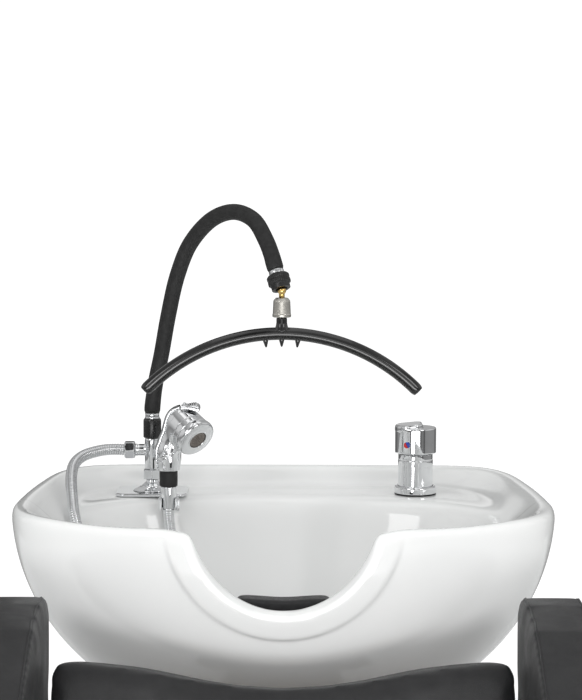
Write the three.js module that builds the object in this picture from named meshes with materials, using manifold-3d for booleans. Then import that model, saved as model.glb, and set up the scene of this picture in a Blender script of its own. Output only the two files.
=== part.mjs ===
// A salon backwash unit: a reclined seat in front of a tilting ceramic shampoo basin, with a
// lever mixer, a hand shower on a metal hose and a gooseneck rinse arch, on a steel pedestal.
// Millimetres, +Z up. The origin is on the floor under the middle of the unit, +X is to the
// right of somebody who stands at the seat and looks at the basin, and +Y runs to the basin.
import * as THREE from 'three';
import { mergeVertices } from 'three/addons/utils/BufferGeometryUtils.js';
import Module from 'manifold-3d';

const wasm = await Module();
wasm.setup();

// Driving dimensions
const GAP = 0.3;                    // between pieces that touch or fit
const ROUND = 20;                   // sides of a turned piece
const RIM_Z = 930;                  // top of the basin's rim
const BASIN_HALF_WIDTH = 308;
const BASIN_BACK_Y = 580;
const BASIN_FRONT_Y = 62;
const HULL_DEPTH = 265;             // rim to the lowest point that the hull curves towards
const HULL_CENTRE_Y = 300;          // the hull narrows towards this line as it goes down
const RIM_WIDTH = 20;
const DECK_DROP = 24;               // from the rim down to the tap deck
const DECK_Z = RIM_Z - DECK_DROP;
const DECK_THICKNESS = 12;
const BOWL_HALF_WIDTH = 258;
const BOWL_CENTRE_Y = 290;
const BOWL_BACK = 172;              // from the bowl's centre to its back and front edges
const BOWL_FRONT = 190;
const BOWL_DEPTH = 222;             // rim to the bowl's floor
const NOTCH_HALF_WIDTH = 105;
const NOTCH_DEPTH = 84;
const BEAD_WIDTH = 34;              // rolled lip around the neck notch
const DRAIN_Y = 285;
const DRAIN_RADIUS = 30;
const TAP_Y = 487;                  // line of the tap holes on the deck
const RISER_X = -162;
const MIXER_X = 163;
const PIVOT_Y = 360;                // basin tilt axis
const PIVOT_Z = 628;
const HANDSET_X = -139;
const HANDSET_Y = 428;
const HOSE_RADIUS = 7;
const SEAT_HALF_WIDTH = 248;
const BACK_HALF_WIDTH = 245;
const ARM_INNER_X = 251;
const ARM_OUTER_X = 318;
const PLATE_THICKNESS = 10;
const GLIDE_HEIGHT = 8;
const PLATE_TOP_Z = GLIDE_HEIGHT + PLATE_THICKNESS;
const SEAT_BOX_TOP_Z = 356;         // steel box under the seat
const SEAT_BOX_Y = -260;
const ROOT_CENTRE_Y = 330;          // pedestal's middle

// Materials
const finish = (color, roughness, metalness) =>
  new THREE.MeshStandardMaterial({ color, roughness, metalness });
const CERAMIC = finish(0xf2f2ef, 0.08, 0);
const CHROME = finish(0xd8dadc, 0.08, 1);
const NICKEL = finish(0xb9b2a4, 0.3, 1);
const BRASS = finish(0xd9a441, 0.25, 1);
const VINYL = finish(0x1e1e1f, 0.45, 0);
const BLACK_RUBBER = finish(0x1c1c1c, 0.75, 0);
const BLACK_GLOSS = finish(0x101010, 0.2, 0);
const BLACK_PLASTIC = finish(0x161616, 0.4, 0);
const GREY_RUBBER = finish(0x6b6258, 0.6, 0);
const STEEL_PAINT = finish(0x202224, 0.45, 0.3);
const STAINLESS = finish(0xc2c4c6, 0.25, 1);
const PLYWOOD = finish(0xb08d5e, 0.7, 0);
const WHITE_PLASTIC = finish(0xe8e8e4, 0.4, 0);
const RED = finish(0xd02020, 0.3, 0);
const BLUE = finish(0x1c3fae, 0.3, 0);

// Solids

/** Volume enclosed by a closed surface, negative when its faces point inwards. */
function signedVolume(position, index) {
  const [a, b, c] = [new THREE.Vector3(), new THREE.Vector3(), new THREE.Vector3()];
  let six = 0;
  for (let i = 0; i < index.length; i += 3) {
    a.fromBufferAttribute(position, index[i]);
    b.fromBufferAttribute(position, index[i + 1]);
    c.fromBufferAttribute(position, index[i + 2]);
    six += a.dot(b.cross(c));
  }
  return six / 6;
}

/** The surface with its shared corners merged, empty triangles dropped and faces outwards. */
function weld(geometry) {
  const bare = geometry.clone();
  bare.deleteAttribute('normal');
  bare.deleteAttribute('uv');
  const merged = mergeVertices(bare, 1e-3);
  const corners = merged.index.array;
  const kept = [];
  for (let i = 0; i < corners.length; i += 3) {
    const [a, b, c] = corners.slice(i, i + 3);
    if (a !== b && b !== c && c !== a) kept.push(a, b, c);
  }
  if (signedVolume(merged.attributes.position, kept) < 0) kept.reverse();
  merged.setIndex(kept);
  return merged;
}

function toSolid(geometry) {
  const skin = weld(geometry);
  return new wasm.Manifold(new wasm.Mesh({
    numProp: 3,
    vertProperties: new Float32Array(skin.attributes.position.array),
    triVerts: new Uint32Array(skin.index.array),
  }));
}

function toGeometry(solid) {
  const mesh = solid.getMesh();
  const skin = new THREE.BufferGeometry();
  skin.setAttribute('position', new THREE.BufferAttribute(mesh.vertProperties, 3));
  skin.setIndex(new THREE.BufferAttribute(mesh.triVerts, 1));
  return skin;
}

/** The body with every tool taken out of it. */
function cut(body, ...tools) {
  return toGeometry(tools.reduce((solid, tool) => solid.subtract(toSolid(tool)), toSolid(body)));
}

/** The pieces joined into one. */
function join(first, ...others) {
  return toGeometry(others.reduce((solid, other) => solid.add(toSolid(other)), toSolid(first)));
}

function common(first, second) {
  return toGeometry(toSolid(first).intersect(toSolid(second)));
}

// Shapes

/** A box between two corners. */
function block([x0, y0, z0], [x1, y1, z1]) {
  const geometry = new THREE.BoxGeometry(x1 - x0, y1 - y0, z1 - z0);
  return geometry.translate((x0 + x1) / 2, (y0 + y1) / 2, (z0 + z1) / 2);
}

/** A piece turned about Z from [radius, height] points, which run upwards on its outside. */
function turned(profile, sides = ROUND) {
  const points = profile.map(([radius, z]) => new THREE.Vector2(radius, z));
  return new THREE.LatheGeometry(points, sides).rotateX(Math.PI / 2);
}

function disc(radius, z0, z1, sides = ROUND) {
  return turned([[0, z0], [radius, z0], [radius, z1], [0, z1]], sides);
}

function ring(inner, outer, z0, z1, sides = ROUND) {
  return turned([[inner, z0], [outer, z0], [outer, z1], [inner, z1], [inner, z0]], sides);
}

/** A hexagonal nut about Z with a round hole. */
function hexNut(acrossFlats, bore, z0, z1) {
  const nut = new THREE.Shape();
  for (let side = 0; side < 6; side += 1) {
    const angle = (side * Math.PI) / 3;
    const reach = acrossFlats / Math.sqrt(3);
    const corner = [reach * Math.cos(angle), reach * Math.sin(angle)];
    if (side === 0) nut.moveTo(...corner);
    else nut.lineTo(...corner);
  }
  nut.closePath();
  nut.holes.push(new THREE.Path().absarc(0, 0, bore, 0, 2 * Math.PI, true));
  const geometry = new THREE.ExtrudeGeometry(nut, {
    depth: z1 - z0, bevelEnabled: false, curveSegments: ROUND / 2,
  });
  return geometry.translate(0, 0, z0);
}

/** A flat outline in X and Y, given as points, with thickness from z0 to z1. */
function slab(points, z0, z1) {
  const outline = new THREE.Shape(points.map(([x, y]) => new THREE.Vector2(x, y)));
  const geometry = new THREE.ExtrudeGeometry(outline, { depth: z1 - z0, bevelEnabled: false });
  return geometry.translate(0, 0, z0);
}

/** A rectangle with round corners, about its own centre. */
function roundedRectangle(width, length, radius, z0, z1) {
  const [x, y] = [width / 2 - radius, length / 2 - radius];
  const outline = new THREE.Shape();
  outline.absarc(x, y, radius, 0, Math.PI / 2);
  outline.absarc(-x, y, radius, Math.PI / 2, Math.PI);
  outline.absarc(-x, -y, radius, Math.PI, 1.5 * Math.PI);
  outline.absarc(x, -y, radius, 1.5 * Math.PI, 2 * Math.PI);
  outline.closePath();
  const geometry = new THREE.ExtrudeGeometry(outline, {
    depth: z1 - z0, bevelEnabled: false, curveSegments: 4,
  });
  return geometry.translate(0, 0, z0);
}

/** A panel whose outline lies in Y and Z, from x0 to x1. */
function sidePanel(points, x0, x1) {
  const outline = new THREE.Shape(points.map(([y, z]) => new THREE.Vector2(y, z)));
  const geometry = new THREE.ExtrudeGeometry(outline, { depth: x1 - x0, bevelEnabled: false });
  return geometry.rotateX(Math.PI / 2).rotateZ(Math.PI / 2).translate(x0, 0, 0);
}

/** A plate whose outline lies in X and Z, from y0 to y1. */
function frontPanel(points, y0, y1) {
  const outline = new THREE.Shape(points.map(([x, z]) => new THREE.Vector2(x, z)));
  const geometry = new THREE.ExtrudeGeometry(outline, { depth: y1 - y0, bevelEnabled: false });
  return geometry.rotateX(Math.PI / 2).translate(0, y1, 0);
}

/** A rod of round or oval section along a smooth line through points. */
function rod(points, radius, steps, sides = 10, depthRadius = radius) {
  const line = new THREE.CatmullRomCurve3(points.map((p) => new THREE.Vector3(...p)));
  const section = new THREE.Shape();
  section.absellipse(0, 0, radius, depthRadius, 0, 2 * Math.PI);
  return new THREE.ExtrudeGeometry(section, {
    steps, extrudePath: line, curveSegments: sides, bevelEnabled: false,
  });
}

/** A skin through level rings of equal length, given from the bottom up, with flat ends. */
function loft(levels) {
  const turnsLeft = THREE.ShapeUtils.area(levels[0].map(([x, y]) => new THREE.Vector2(x, y))) > 0;
  const rings = turnsLeft ? levels : levels.map((ring) => [...ring].reverse());
  const count = rings[0].length;
  const index = [];
  for (let level = 0; level + 1 < rings.length; level += 1) {
    for (let i = 0; i < count; i += 1) {
      const a = level * count + i;
      const b = level * count + ((i + 1) % count);
      index.push(a, b, b + count, a, b + count, a + count);
    }
  }
  const fill = (edge, first, up) => {
    const flat = edge.map(([x, y]) => new THREE.Vector2(x, y));
    for (const [a, b, c] of THREE.ShapeUtils.triangulateShape(flat, [])) {
      const turn = (flat[b].x - flat[a].x) * (flat[c].y - flat[a].y)
        - (flat[b].y - flat[a].y) * (flat[c].x - flat[a].x);
      const corners = turn > 0 === up ? [a, b, c] : [a, c, b];
      index.push(...corners.map((corner) => first + corner));
    }
  };
  fill(rings[0], 0, false);
  fill(rings.at(-1), (rings.length - 1) * count, true);
  const skin = new THREE.BufferGeometry();
  skin.setAttribute('position', new THREE.Float32BufferAttribute(rings.flat(2), 3));
  skin.setIndex(index);
  return skin;
}

const model = new THREE.Group();

/** Adds a named piece to a group, moved to its place and turned so that its Z follows axis. */
function add(group, name, geometry, material, place = [0, 0, 0], axis = [0, 0, 1]) {
  const mesh = new THREE.Mesh(weld(geometry), material);
  mesh.name = name;
  mesh.position.set(...place);
  const direction = new THREE.Vector3(...axis).normalize();
  mesh.quaternion.setFromUnitVectors(new THREE.Vector3(0, 0, 1), direction);
  group.add(mesh);
}

function groupAt(x, y, z) {
  const group = new THREE.Group();
  group.position.set(x, y, z);
  model.add(group);
  return group;
}

// Basin

const RING_POINTS = 44;

/** The larger of two values, rounded where they are closer than width. */
function roundedMax(a, b, width) {
  const near = Math.max(width - Math.abs(a - b), 0);
  return Math.max(a, b) + (near * near) / (4 * width);
}

/** How far a point is outside the rim's outline, moved in by side, back and front. */
function outsideRim(x, y, side, back, front) {
  const widest = 240;
  const half = BASIN_HALF_WIDTH - 0.0003 * Math.max(y - widest, 0) ** 2;
  const flank = Math.abs(x) - half + side;
  const rear = y - BASIN_BACK_Y + 0.00008 * x * x + back;
  const bow = BASIN_FRONT_Y + 0.0013 * x * x - y + front;
  return roundedMax(roundedMax(flank, rear, 85), bow, 70);
}

/** A ring of the rim's outline at height z, narrowed about the hull's centre by scale. */
function rimRing(z, scale, side = 0, back = side, front = side) {
  const ringPoints = [];
  for (let i = 0; i < RING_POINTS; i += 1) {
    const angle = (2 * Math.PI * i) / RING_POINTS;
    const [dx, dy] = [Math.cos(angle), Math.sin(angle)];
    let [near, far] = [50, 500];
    for (let halving = 0; halving < 24; halving += 1) {
      const reach = (near + far) / 2;
      const out = outsideRim(dx * reach, HULL_CENTRE_Y + dy * reach, side, back, front);
      if (out > 0) far = reach;
      else near = reach;
    }
    ringPoints.push([dx * near * scale, HULL_CENTRE_Y + dy * near * scale, z]);
  }
  return ringPoints;
}

/** Width of the hull at a depth under the rim, against its width at the rim. */
const hullScale = (depth) => Math.sqrt(1 - (depth / HULL_DEPTH) ** 2);

/** The outer hull, grown by spare all round. */
function hull(spare = 0) {
  const depths = [252, 240, 220, 195, 165, 130, 90, 50, 8];
  const rings = depths.map((depth) => rimRing(RIM_Z - depth - spare, hullScale(depth), -spare));
  rings.push(rimRing(RIM_Z, 1, 7 - spare));
  return loft(rings);
}

/** A ring of the bowl, which is round behind its centre and squarer in front. */
function bowlRing(z, scale, inset) {
  const ringPoints = [];
  for (let i = 0; i < RING_POINTS; i += 1) {
    const angle = (2 * Math.PI * i) / RING_POINTS;
    const [c, s] = [Math.cos(angle), Math.sin(angle)];
    const power = s > 0 ? 2.45 : 2.7;
    const reachY = (s > 0 ? BOWL_BACK : BOWL_FRONT) * scale - inset;
    const reachX = BOWL_HALF_WIDTH * scale - inset;
    const x = Math.sign(c) * reachX * Math.abs(c) ** (2 / power);
    const y = Math.sign(s) * reachY * Math.abs(s) ** (2 / power);
    ringPoints.push([x, BOWL_CENTRE_Y + y, z]);
  }
  return ringPoints;
}

/** The bowl's hollow, from its floor to just over the deck, made smaller by inset. */
function bowlHollow(inset = 0) {
  const levels = [0, 0.03, 0.1, 0.24, 0.45, 0.7, 0.9, 1];
  const floor = RIM_Z - BOWL_DEPTH;
  const rings = levels.map((level) => {
    const scale = 0.3 + 0.7 * level ** 0.4;
    return bowlRing(floor + level * (DECK_Z - floor) + inset, scale, inset);
  });
  rings.push(bowlRing(DECK_Z + 1, 1, inset));
  return loft(rings);
}

/** Half width of the neck notch at a depth under the rim. */
function notchHalfWidth(depth) {
  const flare = 14;
  const over = Math.max(flare - depth, 0) / flare;
  const round = flare * (1 - Math.sqrt(1 - Math.min(over, 1) ** 2));
  return NOTCH_HALF_WIDTH * Math.max(1 - depth / NOTCH_DEPTH, 0) ** (1 / 2.1) + round;
}

function notchTool() {
  const depths = [NOTCH_DEPTH, 83, 80, 75, 67, 57, 45, 32, 20, 12, 7, 3, 0.5];
  const right = depths.map((depth) => [notchHalfWidth(depth), RIM_Z - depth]);
  const left = right.slice(1).map(([x, z]) => [-x, z]).reverse();
  const crown = [[right.at(-1)[0], RIM_Z + 20], [left[0][0], RIM_Z + 20]];
  return frontPanel([...right, ...crown, ...left], 20, 200);
}

/** The rolled lip that follows the notch on the basin's front face. */
function notchBead() {
  const face = 84;
  const middle = BEAD_WIDTH / 2;
  const [a, b] = [NOTCH_HALF_WIDTH + middle, NOTCH_DEPTH + middle];
  const right = [0.2, 0.45, 0.75, 1.05, 1.35].map((turn) =>
    [a * Math.sin(turn), face, RIM_Z - b * Math.cos(turn)]);
  const up = [[a + 3, face, RIM_Z + 4], [a + 3, face, RIM_Z + 30]];
  const mirror = [...right, ...up].map(([x, y, z]) => [-x, y, z]).reverse();
  const bead = rod([...mirror, [0, face, RIM_Z - b], ...right, ...up], middle, 28, 5, 15);
  return cut(bead, block([-300, 0, RIM_Z - 1], [300, 200, RIM_Z + 60]));
}

function makeBasin() {
  const deckRings = [rimRing(DECK_Z, 1, 43, RIM_WIDTH + 7, RIM_WIDTH + 4)];
  deckRings.push(rimRing(RIM_Z - 3, 1, RIM_WIDTH), rimRing(RIM_Z + 1, 1, RIM_WIDTH - 3));
  const tapPocket = slab([
    [-205, 450], [-150, 461], [-115, 472], [115, 472], [150, 461], [205, 450], [205, 515],
    [185, 536], [-185, 536], [-205, 515],
  ], RIM_Z - HULL_DEPTH, DECK_Z - DECK_THICKNESS);
  const holes = [RISER_X, MIXER_X].map((x) => disc(17, 600, 950).translate(x, TAP_Y, 0));
  const drain = disc(DRAIN_RADIUS, 600, 800).translate(0, DRAIN_Y, 0);
  const beaded = join(cut(hull(), loft(deckRings), bowlHollow()), notchBead());
  return cut(beaded, notchTool(), bowlHollow(), tapPocket, ...holes, drain);
}

/** The gel saddle that lies inside the bowl against the lip, shaped by the wall it lies on. */
function makeNeckRest() {
  const top = RIM_Z - NOTCH_DEPTH + 5;
  const outline = [
    [-50, top - 38], [50, top - 38], [52, top - 10], [47, top - 1], [38, top], [14, top - 3],
    [-14, top - 3], [-38, top], [-47, top - 1], [-52, top - 10],
  ];
  return common(frontPanel(outline, 90, 152), bowlHollow(GAP * 2));
}

function addBasin() {
  const basin = groupAt(0, 0, 0);
  add(basin, 'basin', makeBasin(), CERAMIC);
  add(basin, 'neck_rest', makeNeckRest(), BLACK_RUBBER);
  const floor = RIM_Z - BOWL_DEPTH;
  const flange = turned([
    [20, -52], [DRAIN_RADIUS - GAP - 2, -52], [DRAIN_RADIUS - GAP - 2, GAP],
    [34, GAP], [32, 3], [22, 1.5], [20, 0], [20, -52],
  ]);
  add(basin, 'drain_flange', flange, CHROME, [0, DRAIN_Y, floor]);
  const underside = RIM_Z - 252;
  add(basin, 'drain_nut', ring(DRAIN_RADIUS, 38, -9, -GAP), WHITE_PLASTIC,
    [0, DRAIN_Y, underside]);
  add(basin, 'tail_pipe', turned([
    [16, -90], [19.5, -90], [19.5, -20], [DRAIN_RADIUS - 2, -14], [DRAIN_RADIUS - 2, 0],
    [16, 0], [16, -90],
  ]), WHITE_PLASTIC, [0, DRAIN_Y, floor - 52 - GAP]);
  add(basin, 'cradle', makeCradle(), STEEL_PAINT);
}

const LUG_X = 62;
const LUG_THICKNESS = 10;
const PIN_RADIUS = 8;

/** A disc of the given radius about the tilt axis, between two X values. */
function tiltDisc(radius, x0, x1) {
  return disc(radius, x0, x1).rotateY(Math.PI / 2).translate(0, PIVOT_Y, PIVOT_Z);
}

/** The saddle under the basin with the two lugs that hang on the tilt pin. */
function makeCradle() {
  const seat = block([-88, 232, 668], [88, 420, 704]);
  const lug = (side) => {
    const [x0, x1] = [side * LUG_X, side * (LUG_X + LUG_THICKNESS)].sort((a, b) => a - b);
    const plate = block([x0, PIVOT_Y - 22, PIVOT_Z], [x1, PIVOT_Y + 22, 690]);
    return join(plate, tiltDisc(22, x0, x1));
  };
  const body = join(seat, lug(-1), lug(1));
  const well = disc(46, 600, 760).translate(0, DRAIN_Y, 0);
  return cut(body, hull(GAP), well, tiltDisc(PIN_RADIUS + GAP, -150, 150));
}

function addStrainer() {
  const strainer = groupAt(0, DRAIN_Y, RIM_Z - BOWL_DEPTH);
  const cup = turned([
    [0, -10], [15, -10], [18.5, 2.6], [24, 3.6], [24, 5.2], [0, 5.2],
  ]);
  const slots = [-10, -5, 0, 5, 10].map((x) => block([x - 1, -11, -20], [x + 1, 11, 20]));
  add(strainer, 'strainer', cut(cup, ...slots), STAINLESS);
}

// Pedestal and tilt mechanism

function addPedestal() {
  const base = groupAt(0, 0, 0);
  const footprint = roundedRectangle(480, 900, 60, GLIDE_HEIGHT, PLATE_TOP_Z);
  add(base, 'base_plate', footprint.translate(0, 60, 0), STEEL_PAINT);
  for (const [name, x, y] of [
    ['glide_front_left', -200, -350], ['glide_front_right', 200, -350],
    ['glide_rear_left', -200, 470], ['glide_rear_right', 200, 470],
  ]) add(base, name, disc(22, 0, GLIDE_HEIGHT - GAP), BLACK_RUBBER, [x, y, 0]);

  const post = new THREE.Shape();
  const half = 60;
  post.moveTo(-half, -half).lineTo(half, -half).lineTo(half, half).lineTo(-half, half);
  post.closePath();
  const bore = half - 4;
  const hole = new THREE.Path();
  hole.moveTo(-bore, -bore).lineTo(-bore, bore).lineTo(bore, bore).lineTo(bore, -bore);
  hole.closePath();
  post.holes.push(hole);
  const headZ = 574;
  const tube = new THREE.ExtrudeGeometry(post, {
    depth: headZ - GAP - PLATE_TOP_Z - GAP, bevelEnabled: false,
  });
  add(base, 'inner_post', tube, STEEL_PAINT, [0, ROOT_CENTRE_Y - 10, PLATE_TOP_Z + GAP]);
  add(base, 'tilt_bracket', makeBracket(headZ), STEEL_PAINT);
  add(base, 'hinge_pin', tiltDisc(PIN_RADIUS, -98, 116), STAINLESS);
  addShell(base);
}

/** The post's head plate with two ears for the tilt pin, open in the middle for the waste. */
function makeBracket(z) {
  const plate = block([-92, ROOT_CENTRE_Y - 80, z], [92, ROOT_CENTRE_Y + 60, z + 8]);
  const ear = (x0, x1) => join(
    block([x0, PIVOT_Y - 24, z], [x1, PIVOT_Y + 24, PIVOT_Z]), tiltDisc(24, x0, x1),
  );
  const inner = LUG_X + LUG_THICKNESS + 3;
  const body = join(plate, ear(inner, inner + 9), ear(-inner - 9, -inner));
  const well = block([-45, DRAIN_Y - 40, z - 10], [45, DRAIN_Y + 50, z + 20]);
  return cut(body, well, tiltDisc(PIN_RADIUS + GAP, -150, 150));
}

/** The pedestal's cover, open at its back, and the panel that closes it. */
function addShell(base) {
  const wall = 5;
  const section = (z, halfWidth, halfLength) => {
    const points = [];
    const corner = 0.32 * halfWidth;
    const steps = 4;
    const trace = (inset) => {
      const [x, y, r] = [halfWidth - inset, halfLength - inset, corner - inset / 2];
      const side = [[x, halfLength], [x, -y + r]];
      for (let i = 1; i <= steps; i += 1) {
        const turn = (i * Math.PI) / 2 / steps;
        side.push([x - r + r * Math.cos(turn), -y + r - r * Math.sin(turn)]);
      }
      const mirror = side.map(([px, py]) => [-px, py]).reverse();
      return [...side, ...mirror];
    };
    points.push(...trace(0), ...trace(wall).reverse());
    return points.map(([px, py]) => [px, ROOT_CENTRE_Y + py, z]);
  };
  const levels = [
    [PLATE_TOP_Z + GAP, 190, 170], [60, 178, 160], [200, 150, 140], [400, 132, 124],
    [560, 128, 118], [600, 130, 120],
  ];
  const shell = loft(levels.map(([z, w, l]) => section(z, w, l)));
  add(base, 'pedestal_shell', shell, BLACK_GLOSS);
  const panelRing = ([z, w, l]) => {
    const [y0, y1] = [ROOT_CENTRE_Y + l + GAP, ROOT_CENTRE_Y + l + GAP + 4];
    return [[-w, y0, z], [w, y0, z], [w, y1, z], [-w, y1, z]];
  };
  add(base, 'rear_cover', loft(levels.map(panelRing)), BLACK_GLOSS);
}

function addTiltLever() {
  const lever = groupAt(0, PIVOT_Y, PIVOT_Z);
  const hub = disc(16, 84.5, 98).rotateY(Math.PI / 2);
  const arm = rod([[92, 0, 0], [104, -20, -4], [130, -62, -10], [150, -96, -12]], 6, 6, 4);
  const knob = new THREE.SphereGeometry(12, 10, 6).translate(150, -100, -12);
  const body = join(hub, arm, knob);
  const hole = disc(PIN_RADIUS + GAP, 60, 140).rotateY(Math.PI / 2);
  add(lever, 'tilt_lever', cut(body, hole), STEEL_PAINT);
}

// Seat

/** The tapered steel box under the seat, grown by spare. */
function seatBox(spare) {
  const length = 140 + spare;
  const level = (z, width) => [[-1, -1], [1, -1], [1, 1], [-1, 1]].map(([x, y]) =>
    [x * width, SEAT_BOX_Y + y * length, z]);
  return loft([level(PLATE_TOP_Z + GAP, 150 + spare), level(SEAT_BOX_TOP_Z, 130 + spare)]);
}

function addSeat() {
  const seat = groupAt(0, 0, 0);
  const wall = 4;
  const hollow = seatBox(-wall).translate(0, 0, -wall);
  add(seat, 'seat_pedestal', cut(seatBox(0), hollow), STEEL_PAINT);
  add(seat, 'seat_board', roundedRectangle(SEAT_HALF_WIDTH * 2 - 16, 440, 30,
    SEAT_BOX_TOP_Z + GAP, SEAT_BOX_TOP_Z + 18), PLYWOOD, [0, -300, 0]);
  const cushion = roundedRectangle(SEAT_HALF_WIDTH * 2, 475, 34, 0, 106);
  add(seat, 'seat_cushion', cushion, VINYL, [0, -307, SEAT_BOX_TOP_Z + 18 + GAP]);

  const lean = [0, 0.21, 1];
  const foot = [0, -46, 470];
  const thickness = 66;
  const board = [[-190, 40], [190, 40], [190, 270], [-190, 270]];
  add(seat, 'back_cushion', frontPanel(backOutline(), 0, thickness), VINYL, foot, lean);
  add(seat, 'back_board', frontPanel(board, thickness + GAP, thickness + 14), PLYWOOD, foot, lean);
  const strut = [
    [-120 + GAP, 290], [45, 290], [71, 490], [115, 700], [86, 700], [42, 490], [8, 330],
    [-120 + GAP, 330],
  ];
  for (const [name, x] of [['back_strut_left', -110], ['back_strut_right', 110]]) {
    add(seat, name, sidePanel(strut, x - 15, x + 15), STEEL_PAINT);
  }
}

/** The back cushion's outline, with the scooped top that clears the basin. */
function backOutline() {
  const width = BACK_HALF_WIDTH;
  const top = 342;
  const scoop = 26;
  const points = [[-width, 0], [width, 0]];
  const reaches = [1, 0.99, 0.96, 0.88, 0.62, 0.4, 0.2, 0];
  const drops = [18, 6, 1, 0, 0.22, 0.6, 0.88, 1];
  const right = reaches.map((reach, i) =>
    [width * reach, top - (i < 4 ? drops[i] : drops[i] * scoop)]);
  const left = right.slice(0, -1).map(([x, z]) => [-x, z]).reverse();
  return [...points, ...right, ...left];
}

/** One side's sweeping arm, drawn in Y and Z. */
function armOutline() {
  return [
    [-575, 560], [-580, 590], [-574, 612], [-556, 628], [-520, 640], [-300, 706],
    [-127, 795], [-20, 849], [54, 860], [92, 860], [108, 856], [119, 849], [122, 834], [112, 700],
    [84, 520], [50, 400], [20, 372], [-20, 362], [-470, 362], [-520, 378], [-556, 420],
    [-572, 480],
  ];
}

function addArms() {
  const arms = groupAt(0, 0, 0);
  const drop = ARM_INNER_X - 10;
  for (const [side, sign] of [['left', -1], ['right', 1]]) {
    const [x0, x1] = [sign * ARM_INNER_X, sign * ARM_OUTER_X].sort((a, b) => a - b);
    add(arms, `arm_${side}`, sidePanel(armOutline(), x0, x1), VINYL);
    const [p0, p1] = [sign * drop, sign * (ARM_INNER_X - GAP)].sort((a, b) => a - b);
    const bracket = join(
      block([p0, -420, 300], [p1, -180, 372]),
      block([Math.min(p0, sign * 100), -400, 300], [Math.max(p1, sign * 100), -200, 312]),
    );
    add(arms, `arm_bracket_${side}`, cut(bracket, seatBox(GAP * 2)), STEEL_PAINT);
  }
}

// Mixer

const MIXER_PIVOT = 51;
const KNOB_BOTTOM = 51.5;

function addMixer() {
  const mixer = groupAt(MIXER_X, TAP_Y, DECK_Z);
  add(mixer, 'mixer_base_ring', turned([
    [22, GAP], [26, GAP], [26, 9], [25, 11], [22, 11], [22, GAP],
  ]), CHROME);
  const shankBottom = -78;
  add(mixer, 'mixer_body', turned([
    [0, shankBottom], [14, shankBottom], [14, GAP * 2], [21.6, GAP * 2], [21.6, 42.5],
    [20.9, 43.2], [21.2, 44], [21.2, 50.2], [20.2, 51], [17.8, 51], [17.8, 40], [0, 40],
  ]), CHROME);
  const underDeck = -DECK_THICKNESS - GAP;
  add(mixer, 'mixer_lock_nut', ring(14 + GAP, 20.5, underDeck - 10, underDeck), BRASS);
}

/** The domed cartridge cover, which turns with the lever. */
function addCartridge() {
  const cartridge = groupAt(MIXER_X, TAP_Y, DECK_Z);
  const radius = 20.4;
  const skirt = MIXER_PIVOT + 1;
  const low = Math.asin((skirt + 0.4 - MIXER_PIVOT) / radius);
  const dome = [[0, 40 + GAP], [17.3, 40 + GAP], [17.3, skirt]];
  const steps = 5;
  for (let step = 0; step <= steps; step += 1) {
    const rise = low + (step / steps) * (Math.PI / 2 - low);
    const side = step === steps ? 0 : radius * Math.cos(rise);
    dome.push([side, MIXER_PIVOT + radius * Math.sin(rise)]);
  }
  add(cartridge, 'mixer_cartridge', turned(dome), CHROME);
}

function addMixerLever() {
  const lever = groupAt(MIXER_X, TAP_Y, DECK_Z);
  const cap = turned([
    [0, 82], [22.5, 82], [22.5, KNOB_BOTTOM], [25.3, KNOB_BOTTOM], [25.3, 81], [23, 84],
    [0, 84],
  ]);
  const paddle = slab([
    [-25, -3], [-21, -14], [-12, -20], [0, -21], [6, -17], [8, -8], [6, 4], [-2, 12],
    [-16, 16], [-23, 10],
  ], 83, 90);
  add(lever, 'mixer_lever', join(cap, paddle), CHROME);
  const spot = [-11.9, -23.3, 63.5];
  const outwards = [-0.455, -0.89, 0];
  const half = (turn) => {
    const shape = new THREE.Shape();
    shape.absarc(0, 0, 3.8, turn + 0.06, turn + Math.PI - 0.06);
    shape.closePath();
    return new THREE.ExtrudeGeometry(shape, { depth: 1, bevelEnabled: false, curveSegments: 6 });
  };
  add(lever, 'indicator_hot', half(Math.PI / 2), RED, spot, outwards);
  add(lever, 'indicator_cold', half(-Math.PI / 2), BLUE, spot, outwards);
}

// Riser with its hose outlet, handset holder and swivel

const PLATE_TOP = 4;
const PLATE_LENGTH = 72;
const OUTLET_Z = 54;

function addRiser() {
  const riser = groupAt(RISER_X, TAP_Y, DECK_Z);
  const plate = roundedRectangle(88, PLATE_LENGTH, 14, GAP, PLATE_TOP);
  add(riser, 'deck_plate', cut(plate, disc(15, -5, 10)), CHROME);
  add(riser, 'escutcheon', turned([
    [14.6, PLATE_TOP + GAP], [24, PLATE_TOP + GAP], [23, PLATE_TOP + 2.5], [17, PLATE_TOP + 5],
    [14.6, PLATE_TOP + 5], [14.6, PLATE_TOP + GAP],
  ]), CHROME);
  add(riser, 'shank', turned([
    [0, -70], [14, -70], [14, 10], [9, 14], [7, 18], [0, 18],
  ]), CHROME);
  const underDeck = -DECK_THICKNESS - GAP;
  add(riser, 'shank_lock_nut', ring(14 + GAP, 20.5, underDeck - 10, underDeck), BRASS);
  add(riser, 'shank_nut', hexNut(20.6, 7 + GAP, 18 + GAP, 30), CHROME);
  const column = disc(9.2, 30 + GAP, 69);
  const branch = disc(7.5, 0, 21).rotateY(-Math.PI / 2).translate(0, 0, OUTLET_Z);
  add(riser, 'tee', join(column, branch), CHROME);
  const outlet = hexNut(20, 3, 0, 13).rotateY(-Math.PI / 2);
  add(riser, 'outlet_nut', outlet, CHROME, [-21 - GAP, 0, OUTLET_Z]);
  add(riser, 'handset_holder', makeHolder(), CHROME);
}

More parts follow.
